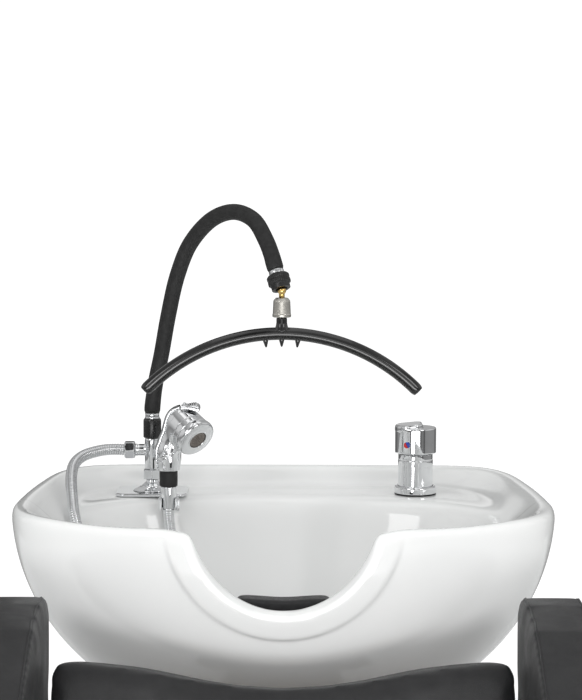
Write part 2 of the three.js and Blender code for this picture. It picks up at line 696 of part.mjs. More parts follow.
/** The arm that reaches forward from the plate and ends in an open fork. */
function makeHolder() {
  const [x, y] = [HANDSET_X - RISER_X, HANDSET_Y - TAP_Y];
  const [low, high] = [-11, PLATE_TOP];
  const arm = block([x - 6, y + 9, GAP], [x + 6, -PLATE_LENGTH / 2 - GAP, high]);
  const cup = disc(12.6, low, high).translate(x, y, 0);
  const seat = turned([
    [0, low - 5], [8.2, low - 5], [10.3, high + 5], [0, high + 5],
  ]).translate(x, y, 0);
  const mouth = block([x - 7.8, y - 40, low - 5], [x + 7.8, y, high + 5]);
  return cut(join(arm, cup), seat, mouth);
}

// Gooseneck, seen from the swivel collar to the ball nut

const GOOSENECK = [
  [-162, 487, 1006], [-161.8, 487, 1013], [-158, 485.5, 1042], [-150, 479, 1080],
  [-141, 467, 1128], [-129, 451, 1178], [-112, 433, 1218], [-84, 411, 1248],
  [-58, 393, 1256], [-36, 376, 1247], [-22, 360.5, 1225], [-14.9, 349.6, 1207.7],
  [-12.3, 345.8, 1198.8], [-9.6, 342, 1190],
];
const NECK_END = new THREE.Vector3(...GOOSENECK.at(-1));
const NECK_DIRECTION = new THREE.Vector3(2.65, -3.79, -8.84).normalize();

/** A place beyond the gooseneck's end, along the line that its nut lies on. */
const beyondNeck = (distance) =>
  NECK_END.clone().addScaledVector(NECK_DIRECTION, distance).toArray();

function addGooseneck() {
  const neck = groupAt(0, 0, 0);
  const foot = [RISER_X, TAP_Y, DECK_Z];
  add(neck, 'swivel_collar', disc(11, 69 + GAP, 93), BLACK_PLASTIC, foot);
  add(neck, 'lower_ferrule', disc(9.2, 93 + GAP, 100 - GAP), CHROME, foot);
  add(neck, 'gooseneck', rod(GOOSENECK, 10, 28, 5), BLACK_RUBBER);
  const along = NECK_DIRECTION.toArray();
  add(neck, 'upper_ferrule', disc(9, 0.6, 6), CHROME, beyondNeck(0), along);
  add(neck, 'ball_nut', turned([
    [0, 0], [12, 0], [13.4, 2], [13.4, 11], [11, 13], [11, 18], [7, 18], [5.6, 14], [0, 14],
  ]), BLACK_PLASTIC, beyondNeck(6 + GAP), along);
}

const BALL = beyondNeck(26);

function addBall() {
  const ball = groupAt(...BALL);
  const body = turned([
    [0, -8], [3.5, -8], [3.5, -4], [5, -1.5], [5, 1.5], [3.5, 4], [0, 5.2],
  ], 12);
  add(ball, 'brass_ball', body, BRASS);
}

const ARCH_RADIUS = 222;
const ARCH_HALF_CHORD = 159;
const ARCH_TOP_Z = 1117;

function addArch() {
  const arch = groupAt(BALL[0], BALL[1], 0);
  const top = BALL[2] - 8 - GAP;
  add(arch, 'coupling', turned([
    [0, 1136], [10.5, 1136], [11, 1138], [9.8, top - 4], [7, top], [0, top],
  ]), NICKEL);
  const reach = Math.asin(ARCH_HALF_CHORD / ARCH_RADIUS);
  const centre = ARCH_TOP_Z - ARCH_RADIUS;
  const points = [];
  const spans = 12;
  for (let i = 0; i <= spans; i += 1) {
    const turn = reach * ((2 * i) / spans - 1);
    points.push([ARCH_RADIUS * Math.sin(turn), 0, centre + ARCH_RADIUS * Math.cos(turn)]);
  }
  const bow = rod(points, 7.5, 18, 5);
  const stem = disc(6.2, ARCH_TOP_Z, 1136 - GAP, 14);
  const nozzles = [-19.3, 0, 19.3].map((offset) => {
    const turn = Math.asin(offset / ARCH_RADIUS);
    const cone = turned([[0, -15.5], [0.7, -15.5], [2.6, -6], [0, -6]], 8).rotateY(turn);
    return cone.translate(offset, 0, centre + ARCH_RADIUS * Math.cos(turn));
  });
  add(arch, 'rinse_arch', join(bow, stem, ...nozzles), BLACK_GLOSS);
}

// Handset

const HEAD = [17.5, 0, 1000];        // middle of the head's back, from the handset's axis
const FACING = [0.56, -0.62, -0.53];
const HEAD_DEPTH = 22;              // from there to the front ring

/** The handset's casting: an upright barrel that bends into the drum of the head. */
function handsetForm(spare) {
  const barrel = turned([
    [0, 943 - spare], [13.6 + spare, 943 - spare], [14.2 + spare, 947], [14.2 + spare, 967],
    [11, 982], [0, 982],
  ]);
  const bend = rod([[0, 0, 963], [1.5, 0, 974], [7, 0, 988], HEAD], 13.6 + spare, 6, 4);
  const drum = turned([
    [0, -17 - spare], [10 + spare, -16.2 - spare], [16 + spare, -12.5 - spare],
    [19.5 + spare, -7], [21.8 + spare, 0], [23.4 + spare, HEAD_DEPTH - GAP + spare],
    [0, HEAD_DEPTH - GAP + spare],
  ]);
  const facing = new THREE.Vector3(...FACING).normalize();
  drum.applyQuaternion(new THREE.Quaternion().setFromUnitVectors(new THREE.Vector3(0, 0, 1), facing));
  return join(barrel, bend, drum.translate(...HEAD));
}

function addHandset() {
  const handset = groupAt(HANDSET_X, HANDSET_Y, 0);
  add(handset, 'handset_ferrule', turned([
    [0, 898], [8.4, 898], [9.8, 915], [9.8, 924 - GAP], [0, 924 - GAP],
  ]), CHROME);
  add(handset, 'handset_sleeve', disc(11, 924, 943 - GAP), BLACK_RUBBER);
  add(handset, 'handset_body', handsetForm(0), CHROME);
  const strap = [
    [-16, 944], [-16, 966], [-13.8, 981], [-9.6, 994], [-6.4, 1006], [-1, 1014.5],
    [6, 1019.4], [12, 1020.6], [12, 1010], [0, 998], [-4, 980], [-6, 944],
  ];
  add(handset, 'handset_strap', cut(frontPanel(strap, -8, 8), handsetForm(GAP)), CHROME);
  add(handset, 'spray_head', cut(turned([
    [0, HEAD_DEPTH], [23.6, HEAD_DEPTH], [24.5, 25], [24.2, 30], [21.5, 33], [0, 33],
  ]), disc(11.5, 30.5, 40)), CHROME, HEAD, FACING);
  add(handset, 'spray_face', disc(11, 30.5 + GAP, 33), GREY_RUBBER, HEAD, FACING);
}

/** The thumb lever: a pad over the head with a cheek on each side down to its pivot. */
function addTrigger() {
  const trigger = groupAt(HANDSET_X, HANDSET_Y, 0);
  const pad = frontPanel([
    [14, 1020], [20, 1019.4], [28, 1017.6], [37, 1018.5], [38.4, 1021], [35.5, 1024.2],
    [26, 1023.6], [14, 1022.4],
  ], -15, 15);
  const cheek = (y) => join(
    frontPanel([[15, 1012], [21, 1012], [24, 1018], [24, 1021], [14, 1021]], y, y + 3),
    disc(3, y, y + 3).rotateX(Math.PI / 2).translate(18, 2 * y + 3, 1013),
  );
  add(trigger, 'thumb_lever', cut(join(pad, cheek(-15), cheek(12)), handsetForm(1.6)), CHROME);
}

// Shower hose, from the tee's outlet into the bowl and back up to the handset

const HOSE_ROUTE = [
  [-196.8, 487, 960], [-207, 486.4, 960.4], [-220, 483, 960.2], [-232.5, 476, 958.5],
  [-243.5, 465, 956], [-251, 450.5, 952], [-254.5, 434, 947], [-254.5, 411, 940.5],
  [-252.5, 384, 932], [-249, 357, 921], [-244, 330, 903], [-235.5, 314, 878],
  [-224, 306, 850], [-206, 295, 815], [-180, 276, 776], [-144, 254, 744], [-98, 232, 727],
  [-46, 214, 722], [8, 207, 721], [56, 220, 721], [86, 252, 721], [91, 296, 721],
  [70, 337, 721], [28, 359, 723], [-22, 366, 728], [-68, 376, 749], [-102, 393, 787],
  [-124, 409, 830], [-136, 424, 866], [-139, 428, 887], [-139, 428, 897.4],
];

function addHose() {
  const hose = groupAt(0, 0, 0);
  add(hose, 'shower_hose', rod(HOSE_ROUTE, HOSE_RADIUS, 58, 4), STAINLESS);
}

addPedestal();
addSeat();
addArms();
addBasin();
addStrainer();
addTiltLever();
addMixer();
addCartridge();
addMixerLever();
addRiser();
addGooseneck();
addBall();
addArch();
addHandset();
addTrigger();
addHose();

export default model;
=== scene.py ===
"""Looks of the shampoo backwash unit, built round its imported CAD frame. Shapes are in millimetres."""

import math

import bpy
import numpy as np
from mathutils import Matrix, Vector
from mathutils.bvhtree import BVHTree


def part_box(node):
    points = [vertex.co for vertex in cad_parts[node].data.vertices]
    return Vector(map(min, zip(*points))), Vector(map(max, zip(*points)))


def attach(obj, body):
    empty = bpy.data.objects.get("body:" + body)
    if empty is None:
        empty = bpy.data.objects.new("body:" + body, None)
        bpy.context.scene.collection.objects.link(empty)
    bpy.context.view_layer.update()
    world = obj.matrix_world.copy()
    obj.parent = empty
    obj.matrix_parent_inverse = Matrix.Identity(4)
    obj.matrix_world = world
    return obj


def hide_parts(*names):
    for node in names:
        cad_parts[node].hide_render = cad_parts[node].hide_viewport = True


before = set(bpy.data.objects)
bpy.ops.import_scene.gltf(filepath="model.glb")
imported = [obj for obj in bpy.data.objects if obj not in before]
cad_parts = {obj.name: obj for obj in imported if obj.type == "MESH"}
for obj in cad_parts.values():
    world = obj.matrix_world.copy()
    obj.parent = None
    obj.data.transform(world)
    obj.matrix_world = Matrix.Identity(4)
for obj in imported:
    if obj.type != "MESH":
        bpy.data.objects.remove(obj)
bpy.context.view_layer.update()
MM = 0.001

RIM_Z = 930.0
DECK_Z = 906.0
BASIN_HALF_WIDTH = 308
BASIN_BACK_Y = 580
BASIN_FRONT_Y = 62
HULL_DEPTH = 265.0
HULL_BOTTOM = 252.0
HULL_CENTRE_Y = 300
BOWL_HALF_WIDTH = 258
BOWL_CENTRE_Y = 290
BOWL_BACK = 172
BOWL_FRONT = 190
BOWL_FLOOR_Z = 708
BOWL_RISE = 198
BEAD_HALF_WIDTH = 16.5
DRAIN_Y = 285.0
TAP_Y = 487.0
RISER_X = -162.0
MIXER_X = 163.0
HANDSET_X = -139.0
HANDSET_Y = 428.0
NOTCH_HALF_WIDTH = 97.0
NOTCH_DEPTH = 104.0
NOTCH_CENTRE_Z = 946.0
ARM_INNER_X = 251.0
ARM_OUTER_X = 318.0


# Mesh helpers

def mesh_object(name, points, faces, material, body, replaced=(), slot=None, smooth=True):
    """A piece from points in millimetres, on its body and in place of its CAD nodes."""
    mesh = bpy.data.meshes.new(name)
    mesh.from_pydata((np.asarray(points, float) * MM).tolist(), [], [list(f) for f in faces])
    mesh.validate()
    mesh.update()
    piece = bpy.data.objects.new(name, mesh)
    bpy.context.scene.collection.objects.link(piece)
    return dress(piece, material, body, replaced, slot, smooth)


def dress(piece, material, body, replaced=(), slot=None, smooth=True):
    """Gives a piece its material, its body and the CAD nodes that it stands for. The slot is not used."""
    piece.data.materials.clear()
    piece.data.materials.append(material)
    if smooth and piece.type == "MESH":
        piece.data.polygons.foreach_set("use_smooth", [True] * len(piece.data.polygons))
    if body:
        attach(piece, body)
    if replaced:
        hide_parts(*replaced)
    return piece


def rounded_corners(profile, radius, steps=5):
    """The profile with each inner corner turned into a small arc."""
    points = [Vector(profile[0])]
    for before, corner, after in zip(profile, profile[1:], profile[2:]):
        before, corner, after = Vector(before), Vector(corner), Vector(after)
        into, out = before - corner, after - corner
        reach = min(radius, 0.45 * into.length, 0.45 * out.length)
        start = corner + into.normalized() * reach
        end = corner + out.normalized() * reach
        for i in range(steps + 1):
            t = i / steps
            points.append(start.lerp(corner, t).lerp(corner.lerp(end, t), t))
    points.append(Vector(profile[-1]))
    return points


def axis_frame(axis):
    """A rotation that takes +Z to the axis."""
    return Vector((0, 0, 1)).rotation_difference(Vector(axis)).to_matrix()


def turned_mesh(profile, place=(0, 0, 0), axis=(0, 0, 1), radius=0.6, sides=96, wave=None):
    """Points and faces of a turned piece. wave(angle, r, z) may change each radius."""
    line = rounded_corners(profile, radius) if radius else [Vector(p) for p in profile]
    turn = axis_frame(axis)
    place = Vector(place)
    points, rings = [], []
    for r, z in line:
        if r < 1e-6:
            rings.append([len(points)] * sides)
            points.append(place + turn @ Vector((0, 0, z)))
            continue
        rings.append(list(range(len(points), len(points) + sides)))
        for i in range(sides):
            angle = 2 * math.pi * i / sides
            reach = wave(angle, r, z) if wave else r
            points.append(place + turn @ Vector((reach * math.cos(angle), reach * math.sin(angle), z)))
    faces = []
    for low, high in zip(rings, rings[1:]):
        for i in range(sides):
            j = (i + 1) % sides
            corners = list(dict.fromkeys([low[i], low[j], high[j], high[i]]))
            if len(corners) > 2:
                faces.append(corners)
    return points, faces


def turned(name, profile, material, body, replaced=(), slot=None, place=(0, 0, 0), axis=(0, 0, 1),
           radius=0.6, sides=96, wave=None):
    points, faces = turned_mesh(profile, place, axis, radius, sides, wave)
    return mesh_object(name, points, faces, material, body, replaced, slot)


def blend_points(a, b, low, high, t):
    """The point at t on the line that is at a when t is low and at b when t is high."""
    return a * ((high - t) / (high - low)) + b * ((t - low) / (high - low))


def spline(controls, step):
    """Points every step along a centripetal Catmull-Rom curve through the controls."""
    controls = [Vector(p) for p in controls]
    ends = [2 * controls[0] - controls[1], *controls, 2 * controls[-1] - controls[-2]]
    fine = []
    for p0, p1, p2, p3 in zip(ends, ends[1:], ends[2:], ends[3:]):
        knots = [0.0]
        for a, b in ((p0, p1), (p1, p2), (p2, p3)):
            knots.append(knots[-1] + math.sqrt((b - a).length))
        t0, t1, t2, t3 = knots
        spans = max(8, int((p2 - p1).length / step * 3))
        for i in range(spans):
            t = t1 + (t2 - t1) * i / spans
            a1 = blend_points(p0, p1, t0, t1, t)
            a2 = blend_points(p1, p2, t1, t2, t)
            a3 = blend_points(p2, p3, t2, t3, t)
            b1 = blend_points(a1, a2, t0, t2, t)
            b2 = blend_points(a2, a3, t1, t3, t)
            fine.append(blend_points(b1, b2, t1, t2, t))
    fine.append(controls[-1])
    reach = np.concatenate([[0], np.cumsum([(b - a).length for a, b in zip(fine, fine[1:])])])
    count = max(2, int(round(reach[-1] / step)) + 1)
    wanted = np.linspace(0, reach[-1], count)
    table = np.array([list(p) for p in fine])
    return np.stack([np.interp(wanted, reach, table[:, i]) for i in range(3)], 1)


def swept_mesh(line, radii, sides=32, caps=True):
    """Points and faces of a tube along a line of points, with a radius at each."""
    line = np.asarray(line, float)
    radii = np.broadcast_to(radii, (len(line),))
    ahead = np.gradient(line, axis=0)
    ahead /= np.linalg.norm(ahead, axis=1)[:, None]
    side = np.cross(ahead[0], [0.3, 0.9, 0.2])
    angles = 2 * np.pi * np.arange(sides) / sides
    points, faces = [], []
    for place, direction, radius in zip(line, ahead, radii):
        side = side - direction * np.dot(side, direction)
        side /= np.linalg.norm(side)
        up = np.cross(direction, side)
        ring = place + radius * (np.outer(np.cos(angles), side) + np.outer(np.sin(angles), up))
        points.extend(ring)
    for i in range(len(line) - 1):
        low, high = i * sides, (i + 1) * sides
        for j in range(sides):
            k = (j + 1) % sides
            faces.append([low + j, low + k, high + k, high + j])
    if caps:
        for ring_start, place, flip in ((0, line[0], True), (len(points) - sides, line[-1], False)):
            centre = len(points)
            points.append(place)
            for j in range(sides):
                pair = [ring_start + j, ring_start + (j + 1) % sides]
                faces.append([*(pair[::-1] if flip else pair), centre])
    return points, faces


def joined(*parts):
    """One list of points and faces from several."""
    points, faces = [], []
    for part_points, part_faces in parts:
        start = len(points)
        points.extend(part_points)
        faces.extend([[start + i for i in face] for face in part_faces])
    return points, faces


# Smooth solids from fields that are negative inside

def smooth_max(a, b, width):
    """The larger of two fields, blended so that the surface bends with no crease."""
    near = np.maximum(1.5 * width - np.abs(a - b), 0)
    return np.maximum(a, b) + near ** 3 / (13.5 * width ** 2)


def smooth_min(a, b, width):
    return -smooth_max(-a, -b, width)


def gradient(field, points, reach=0.05):
    slopes = []
    for axis in range(3):
        offset = np.zeros(3)
        offset[axis] = reach
        slopes.append((field(points + offset) - field(points - offset)) / (2 * reach))
    return np.stack(slopes, -1)


def onto_surface(field, points, rounds, most):
    """Moves points along the field's gradient to where it is zero."""
    for _ in range(rounds):
        slope = gradient(field, points)
        steep = np.maximum((slope ** 2).sum(-1), 0.04)
        move = -(field(points) / steep)[:, None] * slope
        length = np.linalg.norm(move, axis=1)
        points = points + move * np.minimum(1, most / np.maximum(length, 1e-9))[:, None]
    return points


def surface_net(field, low, high, cell, relax=2):
    """Points and quads of the surface where the field is zero, from a grid of cells."""
    low, high = np.array(low, float), np.array(high, float)
    counts = np.ceil((high - low) / cell).astype(int) + 1
    axes = [low[i] + cell * np.arange(counts[i]) for i in range(3)]
    values = np.empty(counts, np.float32)
    plane = np.stack(np.meshgrid(axes[0], axes[1], indexing="ij"), -1)
    for k, z in enumerate(axes[2]):
        layer = np.concatenate([plane, np.full(plane.shape[:2] + (1,), z)], -1)
        values[:, :, k] = field(layer)
    inside = values < 0
    corners = [(i, j, k) for i in (0, 1) for j in (0, 1) for k in (0, 1)]

    def shifted(grid, i, j, k):
        return grid[i:counts[0] - 1 + i, j:counts[1] - 1 + j, k:counts[2] - 1 + k]

    total = sum(shifted(inside, *c).astype(np.int8) for c in corners)
    crossed = (total > 0) & (total < 8)
    cells = np.argwhere(crossed)
    index = np.full(crossed.shape, -1, np.int64)
    index[crossed] = np.arange(len(cells))
    at = {c: values[tuple((cells + c).T)].astype(float) for c in corners}
    summed, found = np.zeros((len(cells), 3)), np.zeros(len(cells))
    for a in corners:
        for axis in range(3):
            if a[axis]:
                continue
            b = tuple(1 if i == axis else a[i] for i in range(3))
            change = (at[a] < 0) != (at[b] < 0)
            share = np.where(change, at[a] / np.where(change, at[a] - at[b], 1), 0)
            spot = np.array(a, float)[None, :] + share[:, None] * (np.array(b) - np.array(a))
            summed += np.where(change[:, None], spot, 0)
            found += change
    points = low + cell * (cells + summed / found[:, None])
    quads = []
    for axis in range(3):
        b, c = (axis + 1) % 3, (axis + 2) % 3
        near = [slice(None)] * 3
        far = [slice(None)] * 3
        near[axis], far[axis] = slice(0, -1), slice(1, None)
        change = inside[tuple(near)] != inside[tuple(far)]
        edges = np.argwhere(change)
        edges = edges[(edges[:, b] > 0) & (edges[:, c] > 0)
                      & (edges[:, b] < counts[b] - 1) & (edges[:, c] < counts[c] - 1)]
        ring = []
        for db, dc in ((-1, -1), (0, -1), (0, 0), (-1, 0)):
            cell_at = edges.copy()
            cell_at[:, b] += db
            cell_at[:, c] += dc
            ring.append(index[tuple(cell_at.T)])
        ring = np.stack(ring, 1)
        starts_in = inside[tuple(edges.T)]
        ring[~starts_in] = ring[~starts_in][:, ::-1]
        quads.append(ring)
    quads = np.concatenate(quads)
    points = onto_surface(field, points, 2, cell)
    for _ in range(relax):
        middle, met = np.zeros_like(points), np.zeros(len(points))
        for i in range(4):
            for j in ((i + 1) % 4, (i + 3) % 4):
                np.add.at(middle, quads[:, i], points[quads[:, j]])
                np.add.at(met, quads[:, i], 1)
        points = 0.5 * points + 0.5 * middle / met[:, None]
        points = onto_surface(field, points, 2, cell)
    return points, quads


def moulded(name, field, low, high, cell, material, body, replaced=(), slot=None):
    """A smooth solid from a field, in place of its CAD nodes."""
    points, quads = surface_net(field, low, high, cell)
    return mesh_object(name, points, quads.tolist(), material, body, replaced, slot)


def node_box(node, spare):
    """The corners of a CAD node's box in millimetres, grown by spare."""
    low, high = (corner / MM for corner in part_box(node))
    grow = Vector((spare, spare, spare))
    return low - grow, high + grow


# Camera, which comes first with the hose

CAMERA_PLACE = (-2.36, -2238.99, 1326.37)
CAMERA_YAW, CAMERA_PITCH, CAMERA_ROLL = (math.radians(angle) for angle in (0.234, 5.078, 0.190))
LENS = 114.416


def add_camera():
    data = bpy.data.cameras.new("camera")
    data.lens = LENS
    data.sensor_width = 36
    data.clip_end = 60
    camera = bpy.data.objects.new("camera", data)
    bpy.context.scene.collection.objects.link(camera)
    turn = Matrix.Rotation(-CAMERA_YAW, 4, "Z") @ Matrix.Rotation(math.pi / 2 - CAMERA_PITCH, 4, "X")
    place = Matrix.Translation(Vector(CAMERA_PLACE) * MM)
    camera.matrix_world = place @ turn @ Matrix.Rotation(CAMERA_ROLL, 4, "Z")
    bpy.context.scene.camera = camera


# Materials

class Nodes:
    """A node material under construction."""

    def __init__(self, name):
        self.material = bpy.data.materials.new(name)
        self.material.use_nodes = True
        self.tree = self.material.node_tree
        self.shader = self.tree.nodes["Principled BSDF"]
        self.place = self.new("ShaderNodeTexCoord").outputs["Object"]

    def new(self, kind, **settings):
        node = self.tree.nodes.new(kind)
        for key, value in settings.items():
            setattr(node, key, value)
        return node

    def link(self, output, target):
        self.tree.links.new(output, target)

    def set(self, **values):
        for key, value in values.items():
            self.shader.inputs[key.replace("_", " ")].default_value = value

    def scaled(self, scale):
        """Object coordinates in metres, stretched by the scale on each axis."""
        node = self.new("ShaderNodeMapping")
        node.inputs["Scale"].default_value = scale
        self.link(self.place, node.inputs["Vector"])
        return node.outputs["Vector"]

    def noise(self, scale, detail=3.0, stretch=(1, 1, 1), rough=0.5):
        node = self.new("ShaderNodeTexNoise")
        node.inputs["Scale"].default_value = scale
        node.inputs["Detail"].default_value = detail
        node.inputs["Roughness"].default_value = rough
        self.link(self.scaled(stretch), node.inputs["Vector"])
        return node.outputs["Fac"]

    def cells(self, scale, feature="F1", stretch=(1, 1, 1)):
        node = self.new("ShaderNodeTexVoronoi", feature=feature)
        node.inputs["Scale"].default_value = scale
        self.link(self.scaled(stretch), node.inputs["Vector"])
        return node.outputs["Distance"]

    def span(self, value, low, high, start=0.0, end=1.0):
        """The value spread from start...end to low...high."""
        node = self.new("ShaderNodeMapRange")
        node.inputs["From Min"].default_value = start
        node.inputs["From Max"].default_value = end
        node.inputs["To Min"].default_value = low
        node.inputs["To Max"].default_value = high
        self.link(value, node.inputs["Value"])
        return node.outputs["Result"]

    def ramp(self, value, stops):
        node = self.new("ShaderNodeValToRGB")
        ramp = node.color_ramp
        while len(ramp.elements) < len(stops):
            ramp.elements.new(0.5)
        for element, (place, colour) in zip(ramp.elements, stops):
            element.position = place
            element.color = (*colour, 1)
        self.link(value, node.inputs["Fac"])
        return node.outputs["Color"]

    def colour(self, output):
        self.link(output, self.shader.inputs["Base Color"])

    def roughness(self, output):
        self.link(output, self.shader.inputs["Roughness"])

    def mottled(self, scale, detail, low, high, start=0.35, end=0.65):
        """A base colour that wanders between two."""
        self.colour(self.ramp(self.noise(scale, detail), [(start, low), (end, high)]))

    def worn(self, scale, detail, low, high, start=0.3, end=0.7):
        """A roughness that wanders between two."""
        self.roughness(self.span(self.noise(scale, detail), low, high, start, end))

    def bump(self, value, strength, distance, under=None):
        node = self.new("ShaderNodeBump")
        node.inputs["Strength"].default_value = strength
        node.inputs["Distance"].default_value = distance
        self.link(value, node.inputs["Height"])
        if under is not None:
            self.link(under, node.inputs["Normal"])
        self.link(node.outputs["Normal"], self.shader.inputs["Normal"])
        return node.outputs["Normal"]


def glazed_ceramic():
    m = Nodes("glazed_ceramic")
    m.set(IOR=1.52, Coat_Weight=0.35, Coat_Roughness=0.03)
    m.mottled(9, 2, (0.865, 0.868, 0.862), (0.885, 0.885, 0.878), 0.3, 0.7)
    m.worn(60, 3, 0.05, 0.11, 0, 1)
    m.bump(m.noise(38, 2), 0.04, 0.002)
    return m.material


def chrome(name="chrome", tint=(0.80, 0.81, 0.82), rough=(0.025, 0.075)):
    m = Nodes(name)
    m.set(Metallic=1.0)
    dark = tuple(0.94 * c for c in tint)
    m.mottled(90, 4, dark, tint)
    m.worn(220, 4, *rough)
    m.bump(m.noise(160, 2), 0.02, 0.0006)
    return m.material


def brushed_metal(name, tint, rough=(0.22, 0.38)):
    """Turned metal with fine rings of brushing round the upright axis."""
    m = Nodes(name)
    m.set(Metallic=1.0)
    rings = m.noise(1.0, 5, (300, 300, 6500), 0.7)
    m.colour(m.ramp(rings, [(0.3, tuple(0.78 * c for c in tint)), (0.7, tint)]))
    m.roughness(m.span(rings, *rough, 0.3, 0.7))
    m.bump(rings, 0.15, 0.00025)
    return m.material


def vinyl():
    """Black upholstery vinyl with a pebbled grain and slightly polished high spots."""
    m = Nodes("black_vinyl")
    m.set(Specular_IOR_Level=0.42, Sheen_Weight=0.04, Sheen_Roughness=0.5)
    pebbles = m.cells(900, "DISTANCE_TO_EDGE")
    creases = m.noise(45, 6, rough=0.6)
    m.colour(m.ramp(creases, [(0.35, (0.011, 0.011, 0.012)), (0.65, (0.017, 0.017, 0.018))]))
    m.worn(25, 3, 0.38, 0.5, 0.35, 0.65)
    grain = m.bump(m.span(pebbles, 0, 1, 0.0, 0.25), 0.22, 0.0005)
    m.bump(creases, 0.12, 0.003, grain)
    return m.material


def rubber(name, colour, rough, grain=1400, dust=0.0):
    """Moulded rubber with a fine matt skin."""
    m = Nodes(name)
    m.set(Specular_IOR_Level=0.4)
    high = tuple(min(1.0, 1.5 * c + dust) for c in colour)
    m.mottled(140, 5, colour, high, end=0.7)
    m.worn(300, 3, rough - 0.08, rough + 0.08)
    m.bump(m.noise(grain, 3), 0.25, 0.0003)
    return m.material


def plastic(name, colour, rough, coat=0.0):
    """Moulded plastic with a faint flow texture and small scuffs."""
    m = Nodes(name)
    m.set(Coat_Weight=coat, Coat_Roughness=0.05)
    low = tuple(0.8 * c for c in colour)
    m.mottled(60, 4, low, colour)
    m.worn(350, 5, 0.75 * rough, 1.25 * rough)
    m.bump(m.noise(500, 2), 0.06, 0.0004)
    return m.material


def painted_steel():
    """Black powder coat, with its fine orange peel."""
    m = Nodes("painted_steel")
    m.set(Coat_Weight=0.15, Coat_Roughness=0.2)
    m.mottled(80, 4, (0.018, 0.019, 0.021), (0.03, 0.031, 0.033))
    m.worn(500, 4, 0.36, 0.52)
    m.bump(m.cells(700), 0.18, 0.0006)
    return m.material


def plywood():
    m = Nodes("plywood")
    grain = m.noise(1.0, 6, (12, 190, 190), 0.65)
    browns = [(0.3, (0.27, 0.15, 0.07)), (0.55, (0.47, 0.31, 0.17)), (0.75, (0.58, 0.42, 0.25))]
    m.colour(m.ramp(grain, browns))
    m.roughness(m.span(grain, 0.55, 0.75))
    m.bump(grain, 0.3, 0.0006)
    return m.material


def knurled_plastic():
    """Black moulded plastic with a fine grain."""
    m = Nodes("knurled_plastic")
    m.mottled(200, 3, (0.008, 0.008, 0.008), (0.016, 0.016, 0.016))
    m.worn(600, 3, 0.28, 0.42)
    m.bump(m.noise(900, 2), 0.12, 0.0004)
    return m.material


CERAMIC = glazed_ceramic()
CHROME = chrome()
HOSE_STEEL = chrome("hose_steel", (0.72, 0.73, 0.74), (0.10, 0.2))
STAINLESS = brushed_metal("stainless", (0.72, 0.73, 0.74))
NICKEL = brushed_metal("satin_nickel", (0.66, 0.64, 0.59), (0.25, 0.36))
BRASS = brushed_metal("brass", (0.86, 0.60, 0.22), (0.12, 0.25))
VINYL = vinyl()
NECK_RUBBER = rubber("gooseneck_rubber", (0.009, 0.009, 0.009), 0.58, dust=0.004)
GEL = rubber("gel_pad", (0.016, 0.016, 0.017), 0.42)
BLACK_RUBBER = rubber("black_rubber", (0.011, 0.011, 0.011), 0.55)
SPRAY_RUBBER = rubber("spray_rubber", (0.115, 0.10, 0.088), 0.5)
BLACK_GLOSS = plastic("black_gloss", (0.008, 0.008, 0.008), 0.16, 0.4)
COVER_GLOSS = plastic("cover_gloss", (0.014, 0.014, 0.015), 0.18, 0.5)
WHITE_PLASTIC = plastic("white_plastic", (0.78, 0.78, 0.76), 0.35)
COLLAR_PLASTIC = plastic("collar_plastic", (0.010, 0.010, 0.010), 0.3, 0.2)
NUT_PLASTIC = knurled_plastic()
STEEL_PAINT = painted_steel()
PLYWOOD = plywood()
HOT_RED = plastic("hot_red", (0.62, 0.012, 0.012), 0.22, 0.5)
COLD_BLUE = plastic("cold_blue", (0.012, 0.05, 0.42), 0.22, 0.5)


# Shower hose

HOSE_ROUTE = [
    (-196.8, 487, 960), (-207, 486.4, 960.4), (-220, 483, 960.2), (-232.5, 476, 958.5),
    (-243.5, 465, 956), (-251, 450.5, 952), (-254.5, 434, 947), (-254.5, 411, 940.5),
    (-252.5, 384, 932), (-249, 357, 921), (-244, 330, 903), (-235.5, 314, 878),
    (-224, 306, 850), (-206, 295, 815), (-180, 276, 776), (-144, 254, 744), (-98, 232, 727),
    (-46, 214, 722), (8, 207, 721), (56, 220, 721), (86, 252, 721), (91, 296, 721),
    (70, 337, 721), (28, 359, 723), (-22, 366, 728), (-68, 376, 749), (-102, 393, 787),
    (-124, 409, 830), (-136, 424, 866), (-139, 428, 887), (-139, 428, 897.4),
]
HOSE_RADIUS = 7.0
HOSE_PITCH = 3.1


def add_hose():
    """The metal hose, with a groove between each of its rings. Its end slides in the handset."""
    inside_handset = [(HANDSET_X, HANDSET_Y, z) for z in (910, 932)]
    line = spline([*HOSE_ROUTE, *inside_handset], HOSE_PITCH / 6)
    along = np.concatenate([[0], np.cumsum(np.linalg.norm(np.diff(line, axis=0), axis=1))])
    wave = np.abs(np.sin(np.pi * along / HOSE_PITCH)) ** 0.6
    radii = HOSE_RADIUS - 0.75 + 0.75 * wave
    points, faces = swept_mesh(line, radii, 20)
    hose = mesh_object("metal_hose", points, faces, HOSE_STEEL, "basin_unit",
                       ["shower_hose"], "steel_hose")
    [c * MM for c in HOSE_ROUTE[0]]


# Basin

def outside_rim(x, y, side, back, front):
    """Distance outside the rim's outline, drawn in by side, back and front."""
    half = BASIN_HALF_WIDTH - 0.0003 * np.maximum(y - 240, 0) ** 2
    flank = np.abs(x) - half + side
    rear = y - BASIN_BACK_Y + 0.00008 * x * x + back
    bow = BASIN_FRONT_Y + 0.0013 * x * x - y + front
    return smooth_max(smooth_max(flank, rear, 85), bow, 70)


